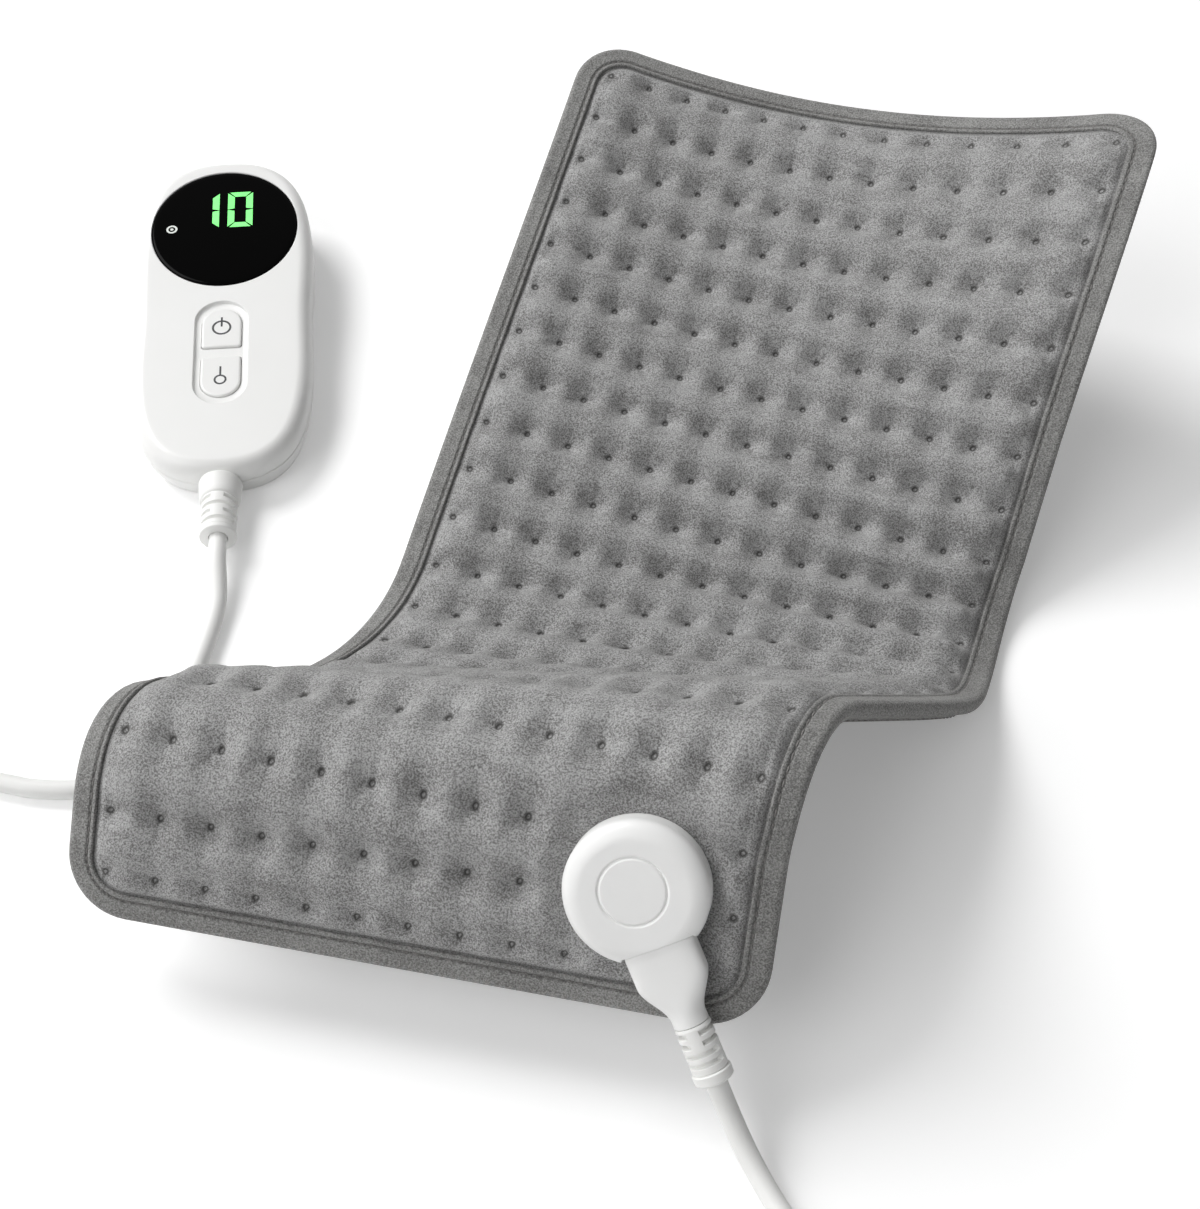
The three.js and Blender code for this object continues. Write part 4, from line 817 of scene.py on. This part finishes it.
# socket: polar grids about the ring's centre, close where the ring mark is, out to the outline and down its
# wall; the base is the same outline carried down its foot, and the mouth is cut out of both
def makeSocket():
    s, r, high = socket, socket["ringRadius"], socketPlace["axisHigh"]
    corner = math.atan2(s["notch"], s["face"] - s["ringAt"])
    rim = np.linspace(corner + s["cornerSlit"], 2 * math.pi - corner - s["cornerSlit"], 200)
    notch = 2 * math.pi + np.linspace(-corner + s["notchSlit"], corner - s["notchSlit"], 40)
    angle = np.concatenate([rim, notch])
    edge = discOutline(angle)
    inner = np.concatenate([np.linspace(s["hub"], r - s["ringFar"], 10),
                            np.linspace(r - s["ringNear"], r + s["ringNear"], 17), [r + s["ringFar"]]])
    share = np.linspace(0, 1, 30)[1:, None] ** s["rimPower"]
    radii = np.concatenate([np.repeat(inner[:, None], len(angle), 1),
                            inner[-1] + (edge - inner[-1])[None, :] * share])
    x, y = s["ringAt"] + radii * np.cos(angle), radii * np.sin(angle)
    top = np.stack([x, y, discTop(x, y)], -1)
    wall = np.repeat(top[-1:], 6, 0)
    wall[..., 2] += (s["split"] + s["seam"] - wall[..., 2]) * np.linspace(0.15, 1, 6)[:, None]
    mouth = boxSolid(s["mouthBack"], s["mouthOut"], -s["mouthHalf"], s["mouthHalf"],
                     high - s["mouthHigh"], high + s["mouthHigh"])
    mouth = placed(mouth, inSocket)
    inset, z = np.array([(0, s["split"]), *s["foot"]]).T[..., None]
    x, y = s["ringAt"] + (edge - inset) * np.cos(angle), (edge - inset) * np.sin(angle)
    base = np.stack([x, y, np.broadcast_to(z, x.shape)], -1)
    for name, rings, node in (("socketCap", np.concatenate([top, wall]), "socket_cap"),
                              ("socketBase", base, "socket_base")):
        solid = placed(ringSolid(rings), inSocket)
        showPiece(name, solid, discWhite, stands=[node], sharp=40, cuts=[mouth])
    print("socket made")


makeSocket()

# plug, mm: spade-shaped halves on the axis plane, with a pocket for the nose and a bore for the sleeve's root
plug = dict(face=20.3, long=30, halfWide=13, halfHigh=6, neck=6.4, shoulder=0.4, shoulderLong=0.52,
            square=0.5, corner=1.2, trimWide=0.8, trimHigh=0.2, split=0.1,
            mouthSteps=(0, 0.008, 0.02, 0.04, 0.07),
            noseWide=9.9, noseHigh=3.2, noseLong=6.3, pocketOut=1, rootRadius=5.5, rootIn=5.3, rootOut=2,
            sleeveGap=0.3)

# ribbed sleeves: bore and slots, and each outline as stations, radii, steps and slots (place, on the faces)
sleeve = dict(bore=4.3, wall=0.5, slotDeep=1.9, slot=1.7, slotSoft=0.3, facing=0.34, facingSoft=0.16)
plugSleeve = dict(x=(-5, 0, 0.01, 1, 17.2, 17.6, 18.0, 21.2, 22),
                  r=(5.4, 5.4, 6.4, 6.7, 6.7, 6.2, 7.3, 7.3, 6.4),
                  spans=((-5, 0, 3), (0, 0.02, 1), (0.02, 17, 120), (17, 22, 26)),
                  slots=((2.6, False), (6.4, False), (10.2, True), (14.0, True)))


# half section: flattened superellipse from the wide mouth to the round neck, corners rounded at the mouth
def plugHalf(sign):
    p = plug
    t = np.concatenate([p["mouthSteps"], np.linspace(0.1, 1, 31)])[:, None]
    x = p["face"] + p["long"] * t
    thin = ease((t - p["shoulder"]) / p["shoulderLong"])
    mouth = np.clip(1 - p["long"] * t / p["corner"], 0, 1)
    trim = 1 - np.sqrt(1 - mouth ** 2)
    wide = p["halfWide"] + (p["neck"] - p["halfWide"]) * thin - p["trimWide"] * trim
    high = p["halfHigh"] + (p["neck"] - p["halfHigh"]) * thin - p["trimHigh"] * trim
    power = p["square"] + (1 - p["square"]) * thin
    a = np.linspace(0, math.pi, 40)[None, :]
    y = wide * np.sign(np.cos(a)) * np.abs(np.cos(a)) ** power
    z = p["split"] + (high - p["split"]) * np.abs(np.sin(a)) ** power
    return np.stack([np.broadcast_to(x, y.shape), y, socketPlace["axisHigh"] + sign * z], -1)


# sleeve: an outline turned round its axis, cut by rows of slots, each on the sides or on the faces
def slottedSleeve(profile):
    s, spans = sleeve, profile["spans"]
    x = np.concatenate([np.linspace(a, b, n, endpoint=False) for a, b, n in spans] + [[spans[-1][1]]])
    radius = np.interp(x, profile["x"], profile["r"])
    a = around(72)
    cut = np.zeros((len(x), len(a)))
    for at, onFaces in profile["slots"]:
        facing = np.abs(np.sin(a) if onFaces else np.cos(a))
        across = ease((s["slot"] / 2 + s["slotSoft"] / 2 - np.abs(x - at)) / s["slotSoft"])[:, None]
        cut = np.maximum(cut, across * ease((facing - s["facing"]) / s["facingSoft"])[None, :])
    r = np.maximum(radius[:, None] - s["slotDeep"] * cut, s["bore"] + s["wall"])
    x = np.append(x, [x[-1], x[0]])                    # two rings of the bore close the loop
    r = np.concatenate([r, np.full((2, len(a)), s["bore"])])
    return loopSolid(np.stack([np.broadcast_to(x[:, None], r.shape), r * np.cos(a), r * np.sin(a)], -1))


# plug: two halves cut for the nose and the sleeve's root, and the sleeve behind them
def makePlug():
    p, high = plug, socketPlace["axisHigh"]
    end = p["face"] + p["long"]
    pocket = boxSolid(p["face"] - p["pocketOut"], p["face"] + p["noseLong"], -p["noseWide"], p["noseWide"],
                      high - p["noseHigh"], high + p["noseHigh"])
    a, r = around(32), p["rootRadius"]
    root = np.stack([np.stack([0 * a + x, r * np.cos(a), high + r * np.sin(a)], -1)
                     for x in (end - p["rootIn"], end + p["rootOut"])])
    cuts = [placed(pocket, inSocket), placed(ringSolid(root), inSocket)]
    for name, sign, node in (("plugUpper", 1, "plug_upper_half"), ("plugLower", -1, "plug_lower_half")):
        solid = placed(ringSolid(plugHalf(sign)), inSocket)
        showPiece(name, solid, discWhite, "plug", [node], sharp=42, cuts=cuts)
    points, faces = slottedSleeve(plugSleeve)
    solid = inSocket(points + np.array([end + p["sleeveGap"], 0, high])), faces
    showPiece("plugSleeve", solid, softWhite, "plug", ["plug_strain_relief"], sharp=50)
    print("plug made")


makePlug()

# hand control shells, mm: walls, parting line, roundings, outline, display seat and keys' tray; the edges of
# seat and tray are insets and heights
hand = dict(wall=2.4, floor=3.4, part=11, gap=0.1, partIn=0.35, partEdge=0.4, roundIn=6.5, roundUp=8,
            flatIn=1, taper=2.6, foot=2.4, innerTop=5.6, draft=2, overrun=2, glandHole=6.5, glandCut=20,
            stretch=2.2, waist=0.05, waistAt=0.47, waistLong=0.16, fullness=0.82,
            lensWide=35.7, lensLong=39.5, lensAt=154, lensDeep=2.15, lensGap=0.15, ledge=4, window=(-9, -1),
            lensEdge=[(0, -0.5), (-0.12, -0.2), (-0.5, 0.02), (-1.2, 0.6)],
            trayWide=25, trayLong=64.6, trayAt=71.6, trayDeep=1.6, trayFoot=[(0.9, 0), (0.3, 0.25), (0, 0.8)],
            trayEdge=[(0, -0.45), (-0.15, -0.18), (-0.5, 0.04), (-1.1, 0.5)])

# keys, mm: outline, hole in the face, flange behind it and rounded top
keys = dict(wide=18.8, long=24.6, split=30.8, corner=1.6, rise=1.2, fit=0.3, hole=(-7, 0),
            flange=1.4, flangeTop=-4.0, flangeThick=1.2, flangeHole=(-8, -3.7),
            roundIn=1.1, roundUp=0.8, flatIn=1.4)


# outline of the hand control: a stretched superellipse with a slight waist
def handOutline():
    half, long, stretch = handPlace["wide"] / 2, handPlace["long"], hand["stretch"]
    t = around(220)
    c, s = np.cos(t), np.sin(t)
    y = long / 2 + (long / 2 - half) * np.tanh(stretch * s) / math.tanh(stretch) + half * s
    waist = 1 - hand["waist"] * bell(y - hand["waistAt"] * long, hand["waistLong"] * long)
    return np.stack([half * waist * np.sign(c) * np.abs(c) ** hand["fullness"], y], 1)


# ellipse with half axes a and b
def ellipse(a, b, cy, n=128):
    t = around(n)
    return np.stack([a * np.cos(t), cy + b * np.sin(t)], 1)


# two half circles joined by straights
def stadium(wide, long, cy, n=24):
    a = np.linspace(0, math.pi, n)
    r, d = wide / 2, long / 2 - wide / 2
    cap = np.stack([r * np.cos(a), d + r * np.sin(a)], 1)
    return np.concatenate([cap, -cap]) + [0, cy]


# key outline: round at one end, straight with small corners at the other
def keyOutline(grow, sign):
    k, c = keys, keys["corner"]
    r = k["wide"] / 2 + grow
    start = k["split"] / 2 - k["long"] / 2
    a, b = np.linspace(0, math.pi, 28), np.linspace(0, math.pi / 2, 7)
    dome = np.stack([r * np.cos(a), start + k["long"] - k["wide"] / 2 + r * np.sin(a)], 1)
    left = np.stack([-r + c - c * np.cos(b), start - grow + c - c * np.sin(b)], 1)
    right = np.stack([-left[::-1, 0], left[::-1, 1]], 1)
    pts = np.concatenate([dome, left, right])
    pts[:, 1] = hand["trayAt"] + sign * pts[:, 1]
    return pts if sign > 0 else pts[::-1]


# outline carried through steps of inset and height
def loftRings(outline, steps):
    ahead = np.roll(outline, -1, 0) - np.roll(outline, 1, 0)
    ahead /= np.linalg.norm(ahead, axis=1)[:, None]
    out = np.stack([ahead[:, 1], -ahead[:, 0]], 1)
    return np.stack([np.c_[outline - out * inset, np.broadcast_to(z, len(outline))] for inset, z in steps])


# the same as a solid in the hand control's frame
def handSolid(outline, steps):
    return placed(ringSolid(loftRings(outline, steps)), inHand)


# straight cut through an outline between two heights
def handCut(outline, heights):
    return handSolid(outline, [(0, z) for z in heights])


# round hole along the gland's axis
def glandBore():
    a, r, far = around(40), hand["glandHole"], hand["glandCut"]
    rings = np.stack([np.stack([r * np.cos(a), 0 * a + y, r * np.sin(a)], -1) for y in (-far, far)])
    return placed(ringSolid(rings), inGland)


# front shell: the outline up its parting edge and over a quarter ellipse, hollowed, with the display's seat,
# the keys' tray and the keys' holes cut in
def makeFront():
    h, outline = hand, handOutline()
    part, deep, wall = -h["part"] + h["gap"], -h["trayDeep"], h["wall"]
    steps = [(h["partIn"], part), (0, part + h["partEdge"])]
    steps += [(h["roundIn"] * (1 - math.cos(q)), h["roundUp"] * (math.sin(q) - 1))
              for q in np.linspace(0, math.pi / 2, 16)]
    steps += [(h["roundIn"] + h["flatIn"], 0)]
    seat = ellipse(h["lensWide"] + h["lensGap"], h["lensLong"] + h["lensGap"], h["lensAt"])
    window = ellipse(h["lensWide"] - h["ledge"], h["lensLong"] - h["ledge"], h["lensAt"])
    tray = stadium(h["trayWide"], h["trayLong"], h["trayAt"])
    cuts = [handSolid(outline, [(wall, -h["part"] - h["overrun"]), (wall + h["draft"], -h["innerTop"])]),
            handSolid(seat, [(0, -h["lensDeep"])] + h["lensEdge"]),
            handCut(window, h["window"]),
            handSolid(tray, [(inset, deep + up) for inset, up in h["trayFoot"]] + h["trayEdge"]),
            glandBore()]
    for sign in (1, -1):
        cuts.append(handCut(keyOutline(keys["fit"], sign), keys["hole"]))
        cuts.append(handCut(keyOutline(keys["flange"] + keys["fit"], sign), keys["flangeHole"]))
    showPiece("handFront", handSolid(outline, steps), shellWhite,
              stands=["handset_front_shell"], cuts=cuts)
    print("front shell made")


# rear shell: the outline drawn in by a square law down to the table, which is a slanted plane in this frame,
# then round a quarter circle at the foot, and hollowed
def makeRear():
    h, outline = hand, handOutline()
    low = -handPlace["low"] - outline[:, 1] * math.tan(tilt)
    part = -h["part"] - h["gap"]
    start, taper, foot = part - h["partEdge"], h["taper"], h["foot"]
    steps = [(h["partIn"], part), (0, start)]
    steps += [(taper * s ** 2, start + (low + foot - start) * s) for s in np.linspace(0.1, 1, 10)]
    steps += [(taper + foot * (1 - math.cos(q)), low + foot * (1 - math.sin(q)))
              for q in np.linspace(0.15, math.pi / 2, 8)]
    steps += [(taper + foot + h["flatIn"], low)]
    hollow = handSolid(outline, [(h["wall"], part + h["overrun"]), (h["wall"] + taper, low + h["floor"])])
    showPiece("handRear", handSolid(outline, steps), shellWhite,
              stands=["handset_rear_shell"], cuts=[hollow, glandBore()])
    print("rear shell made")


makeFront()
makeRear()


# tinted acrylic, injection moulded and polished: black, with a hard gloss that is faintly uneven
def acrylicLook(name, tint):
    look, tree, face, place = newLook(name, {"Base Color": colour(tint), "IOR": 1.49,
                                             "Specular IOR Level": 0.02})
    swirl = addNode(tree, "TexNoise", {"Vector": place, "Scale": 1 / (6 * mm), "Detail": 4})
    rough = addNode(tree, "MapRange", {"Value": swirl.outputs["Fac"], "To Min": 0.05, "To Max": 0.11})
    tree.links.new(rough.outputs[0], face.inputs["Roughness"])
    return look


# lit LED segment behind the acrylic: an even glow with a faint mottle 3 mm wide
def litLook(name, shade, glow, strength):
    look, tree, face, place = newLook(name, {"Base Color": colour(shade), "Roughness": 0.4,
                                             "Emission Strength": strength})
    cell = addNode(tree, "TexNoise", {"Vector": place, "Scale": 1 / (3 * mm), "Detail": 2})
    tone = addNode(tree, "Mix", {"Factor": cell.outputs["Fac"], 6: colour(shade), 7: colour(glow)},
                   data_type="RGBA")
    tree.links.new(tone.outputs[2], face.inputs["Emission Color"])
    return look


lensBlack = acrylicLook("polishedTintedAcrylic", "#020202")
segmentGreen = litLook("litGreenSegment", "#62d568", "#8cec8e", 0.85)
markPale = litLook("litPaleMark", "#b9bdb9", "#d4d8d4", 0.5)

# display, mm: dome and rounded edge of the lens, the figures and the mark beside them; sunk is how far a
# figure reaches into what carries it
display = dict(dome=0.35, lensLow=-2.0, edgeFrom=0.97, edgeDrop=0.5, sunk=0.2, proud=0.06,
               digitLow=-0.2, digitHigh=24.4, stroke=3.3, gap=0.45, oneRight=-2.8, zeroLeft=1.4,
               zeroWide=12.3, midMitre=0.7, cornerGap=0.2, barOut=0.5, barIn=0.3, barThin=0.18,
               markAt=(-25.8, 0.5), markOut=2.7, markIn=1.75, dot=0.8)


# lens face: a low paraboloid
def lensHeight(x, y):
    a, b = x / hand["lensWide"], (y - hand["lensAt"]) / hand["lensLong"]
    return display["dome"] * (1 - a ** 2 - b ** 2)


# flat figure lifted just off the lens or a key: its outline at two heights
def figure(points, height, proud):
    p = np.asarray(points, float)
    z = height(p[:, 0], p[:, 1])
    return ringSolid(np.stack([np.c_[p, z - display["sunk"]], np.c_[p, z + proud]]))


# flat ring lifted the same way, a section of four points turned round its centre
def ringFigure(cx, cy, outer, inner, height, proud):
    a, sunk = around(64), display["sunk"]
    sections = []
    for r, lift in ((outer, -sunk), (outer, proud), (inner, proud), (inner, -sunk)):
        x, y = cx + r * np.cos(a), cy + r * np.sin(a)
        sections.append(np.stack([x, y, height(x, y) + lift], -1))
    return loopSolid(np.stack(sections))


# the segments of the figures 1 and 0, mitred where they meet: uprights from the middle outwards, and two bars
def digitSegments():
    d, g, s = display, display["gap"], display["stroke"]
    mid, tall = (d["digitLow"] + d["digitHigh"]) / 2, (d["digitHigh"] - d["digitLow"]) / 2
    upright = [(0, g / 2), (s, g / 2 + d["midMitre"]), (s, tall - s - d["cornerGap"]), (0, tall - g)]
    x0, x1 = d["zeroLeft"], d["zeroLeft"] + d["zeroWide"]
    outer, inner, thin = g + d["barOut"], s + d["barIn"], s - d["barThin"]
    bar = [(x0 + outer, 0), (x0 + inner, thin), (x1 - inner, thin), (x1 - outer, 0)]
    parts = []
    for sign in (1, -1):
        parts.append([(x0 + a, mid + sign * b) for a, b in upright])
        parts.append([(x1 - a, mid + sign * b) for a, b in upright])
        parts.append([(d["oneRight"] - a, mid + sign * b) for a, b in upright])
        parts.append([(a, mid + sign * (tall - b)) for a, b in bar])
    return [[(x, hand["lensAt"] + y) for x, y in p] for p in parts]


# lens: ellipses of growing share over the dome, dropping at the edge, then a straight rim
def makeDisplay():
    d, a, centre = display, around(128), hand["lensAt"]
    share = np.concatenate([np.linspace(0.02, d["edgeFrom"], 22), [0.985, 0.993, 1.0]])[:, None]
    x, y = hand["lensWide"] * share * np.cos(a), centre + hand["lensLong"] * share * np.sin(a)
    drop = d["edgeDrop"] * np.clip((share - d["edgeFrom"]) / (1 - d["edgeFrom"]), 0, 1) ** 2
    face = np.stack([x, y, lensHeight(x, y) - drop], -1)
    rim = np.stack([x[-1:], y[-1:], np.full((1, len(a)), d["lensLow"])], -1)
    lens = ringSolid(np.concatenate([face, rim]))
    digits = together([figure(p, lensHeight, d["proud"]) for p in digitSegments()])
    cx, cy = d["markAt"][0], centre + d["markAt"][1]
    ring = ringFigure(cx, cy, d["markOut"], d["markIn"], lensHeight, d["proud"])
    dot = figure(ellipse(d["dot"], d["dot"], cy, 24) + [cx, 0], lensHeight, d["proud"])
    mark = together([ring, dot])
    showPiece("displayLens", placed(lens, inHand), lensBlack, stands=["display_lens"],
              sharp=50)
    showPiece("displayDigits", placed(digits, inHand), segmentGreen)
    showPiece("displayMark", placed(mark, inHand), markPale)
    print("display made")


makeDisplay()

# pad-printed ink: dark grey, thin and slightly matt
printInk = mouldedLook("padPrintedInk", "#3a3b3d", "#2f3032", 0.6, 0.5, 0.02)

# signs on the keys, mm: a ring with a bar for power, a bulb with a stem for temperature
signs = dict(ring=4.6, ringStroke=1.0, barHalf=0.45, barLow=0.6, barHigh=6.6,
             bulb=3.0, bulbStroke=0.9, bulbDown=2.2, stemIn=0.3, stemHigh=5.2, proud=0.05)
keyTop = -hand["trayDeep"] + keys["rise"]


# flat top of a key
def keyHeight(x, y):
    return keyTop + 0 * x


# keys: a loft from the flange to a softly rounded top, each with its sign
def makeKeys():
    k, s = keys, signs
    low = k["flangeTop"] - k["flangeThick"]
    steps = [(-k["flange"], low), (-k["flange"], k["flangeTop"]), (0, k["flangeTop"])]
    steps += [(k["roundIn"] * (1 - math.cos(q)), keyTop - k["roundUp"] + k["roundUp"] * math.sin(q))
              for q in np.linspace(0, math.pi / 2, 7)]
    steps += [(k["flatIn"], keyTop)]
    for name, sign in (("power", 1), ("temperature", -1)):
        body = f"{name}_button"
        solid = handSolid(keyOutline(0, sign), steps)
        showPiece(f"{name}Key", solid, shellWhite, body, [body], sharp=40)
        cy = hand["trayAt"] + sign * k["split"] / 2
        if name == "power":
            outer, stroke = s["ring"], s["ringStroke"]
            y0, y1 = cy + s["barLow"], cy + s["barHigh"]
        else:
            cy -= s["bulbDown"]
            outer, stroke = s["bulb"], s["bulbStroke"]
            y0, y1 = cy + outer - s["stemIn"], cy + outer + s["stemHigh"]
        ring = ringFigure(0, cy, outer, outer - stroke, keyHeight, s["proud"])
        w = s["barHalf"]
        bar = figure([(-w, y0), (w, y0), (w, y1), (-w, y1)], keyHeight, s["proud"])
        showPiece(f"{name}Sign", placed(together([ring, bar]), inHand), printInk, body)
    print("keys made")


makeKeys()

# strain relief of the hand control: neck, collar, then a slotted sleeve with an end ring
handSleeve = dict(x=(-7, -5, -4.99, 0.3, 0.31, 1.0, 9.5, 11.5, 11.6, 30.2, 30.5, 30.9, 33.0, 33.5),
                  r=(7.4, 7.4, 6.2, 6.2, 9.3, 9.9, 9.4, 8.9, 8.2, 7.9, 7.4, 8.3, 8.3, 7.4),
                  spans=((-7, -4.98, 4), (-4.98, 0.3, 3), (0.3, 0.32, 1), (0.32, 12, 24), (12, 30, 110),
                         (30, 33.5, 22)),
                  slots=((14.0, False), (18.4, True), (22.8, False), (27.2, True)))


# the sleeve's axis is turned from x to -y, away from the hand control
def makeGland():
    points, faces = slottedSleeve(handSleeve)
    turned = np.stack([points[:, 1], -points[:, 0], points[:, 2]], -1)
    showPiece("handSleeve", (inGland(turned), faces), softWhite,
              stands=["handset_strain_relief"], sharp=50)
    print("strain relief made")


makeGland()


# finish of an inner piece: tone and bump from one grain, which is drawn coarse enough to show; sizes in mm
def grainLook(name, pale, deep, rough, grain, lift, metal):
    look, tree, face, place = newLook(name, {"Roughness": rough, "Metallic": metal})
    cell = addNode(tree, "TexNoise", {"Vector": place, "Scale": 1 / (grain * mm), "Detail": 4})
    tone = addNode(tree, "Mix", {"Factor": cell.outputs["Fac"], 6: colour(pale), 7: colour(deep)},
                   data_type="RGBA")
    bump = addNode(tree, "Bump", {"Height": cell.outputs["Fac"], "Distance": lift * mm,
                                            "Strength": 0.4})
    tree.links.new(tone.outputs[2], face.inputs["Base Color"])
    tree.links.new(bump.outputs["Normal"], face.inputs["Normal"])
    return look


# inner pieces keep their CAD solids: two tones, roughness, grain, lift, metallic, starts of node names
innerFinishes = dict(
    needledFelt=("#dad8d1", "#c9c7bf", 0.95, 0.8, 0.3, 0.0, ("heating_felt",)),
    extrudedSiliconeSleeve=("#b5553a", "#a24a31", 0.6, 1.5, 0.05, 0.0, ("heating_wire",)),
    zincPlatedSteel=("#c3c6c9", "#b1b4b8", 0.32, 1.2, 0.02, 1.0, ("socket_screw_", "board_screw_")),
    turnedBrass=("#cba551", "#bb9443", 0.3, 0.8, 0.02, 1.0, ("socket_pin_", "plug_contact_")),
    mouldedCreamNylon=("#dddcd6", "#d2d1ca", 0.55, 1.0, 0.03, 0.0,
                       ("socket_contact_block", "socket_back_plate", "plug_nose")),
    mouldedDarkNylon=("#38393c", "#2d2e31", 0.55, 1.0, 0.04, 0.0,
                      ("pad_thermostat", "power_switch", "temperature_switch", "capacitor", "cord_clamp")),
    pottedDisplayModule=("#171918", "#101211", 0.45, 2.0, 0.02, 0.0, ("display_module",)),
    mouldedLightRod=("#e6eef0", "#d9e3e6", 0.2, 3.0, 0.01, 0.0, ("light_guide",)),
    etchedEpoxyBoard=("#2f6b3c", "#275c33", 0.5, 1.5, 0.03, 0.0, ("circuit_board",)),
    mouldedBlueRelay=("#2a4f8f", "#24457e", 0.45, 1.0, 0.02, 0.0, ("relay",)),
    glazedFuseCeramic=("#d9d4c8", "#ccc7ba", 0.25, 2.0, 0.02, 0.0, ("fuse",)),
)
for finish, (*values, starts) in innerFinishes.items():
    look = grainLook(finish, *values)
    for name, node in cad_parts.items():
        if name.startswith(starts):
            node.data.materials.clear()
            node.data.materials.append(look)
print("inner pieces finished")

# pale floor, its half width in m, top and thickness in mm, and soft light from the left, behind and before
# the pad, in m; level is what a white face turned to the lamp returns
stage = dict(floor=3.5, drop=0.2, thick=20, room=0.18, whiten=0.24)
lamps = dict(keyPanel=dict(at=(-3.6, 1.9, 4.45), size=2.8, level=0.7),
             sidePanel=dict(at=(-3.0, -3.3, 4.0), size=4.2, level=0.42))


# 1 where the camera, a gloss or a clear body looks at the surface, 0 where light falls on it
def seenRays(tree):
    ray = addNode(tree, "LightPath").outputs
    seen = ray["Is Camera Ray"]
    for other in ("Is Glossy Ray", "Is Transmission Ray"):
        seen = addNode(tree, "Math", {0: seen, 1: ray[other]}, operation="MAXIMUM").outputs[0]
    return seen


# painted studio floor: pale and matt, whitened only where it is looked at, so that it keeps its shadows
def layFloor():
    look, tree, face, _ = newLook("paintedStudioFloor", {"Base Color": colour("#fafafa"), "Roughness": 0.9,
                                                         "Emission Color": (1, 1, 1, 1)})
    glow = addNode(tree, "Math", {0: seenRays(tree), 1: stage["whiten"]}, operation="MULTIPLY")
    tree.links.new(glow.outputs[0], face.inputs["Emission Strength"])
    far = stage["floor"] / mm
    mesh = solidMesh("paleFloor", *boxSolid(-far, far, -far, far, -stage["thick"], -stage["drop"]))
    mesh.transform(Matrix.Scale(mm, 4))
    mesh.materials.append(look)
    addObject("paleFloor", mesh)


# white room where it is looked at, with a weak even light from all round, and soft panels turned to the pad
def lightRoom():
    world = bpy.data.worlds.new("softRoom")
    world.use_nodes = True
    tree = world.node_tree
    level = addNode(tree, "MapRange", {"Value": seenRays(tree), "To Min": stage["room"], "To Max": 1})
    back = tree.nodes["Background"].inputs
    back["Color"].default_value = (1, 1, 1, 1)
    tree.links.new(level.outputs[0], back["Strength"])
    bpy.context.scene.world = world
    for name, lamp in lamps.items():
        data = bpy.data.lights.new(name, "AREA")
        data.size = lamp["size"]
        reach = np.linalg.norm(lamp["at"])
        data.energy = lamp["level"] * (math.pi * reach) ** 2
        panel = addObject(name, data)
        panel.location = lamp["at"]
        away = np.array(lamp["at"]) / reach
        panel.rotation_euler = (math.acos(away[2]), 0, math.atan2(away[0], -away[1]))


layFloor()
lightRoom()
bpy.context.scene.view_settings.view_transform = "Standard"
print("stage lit")
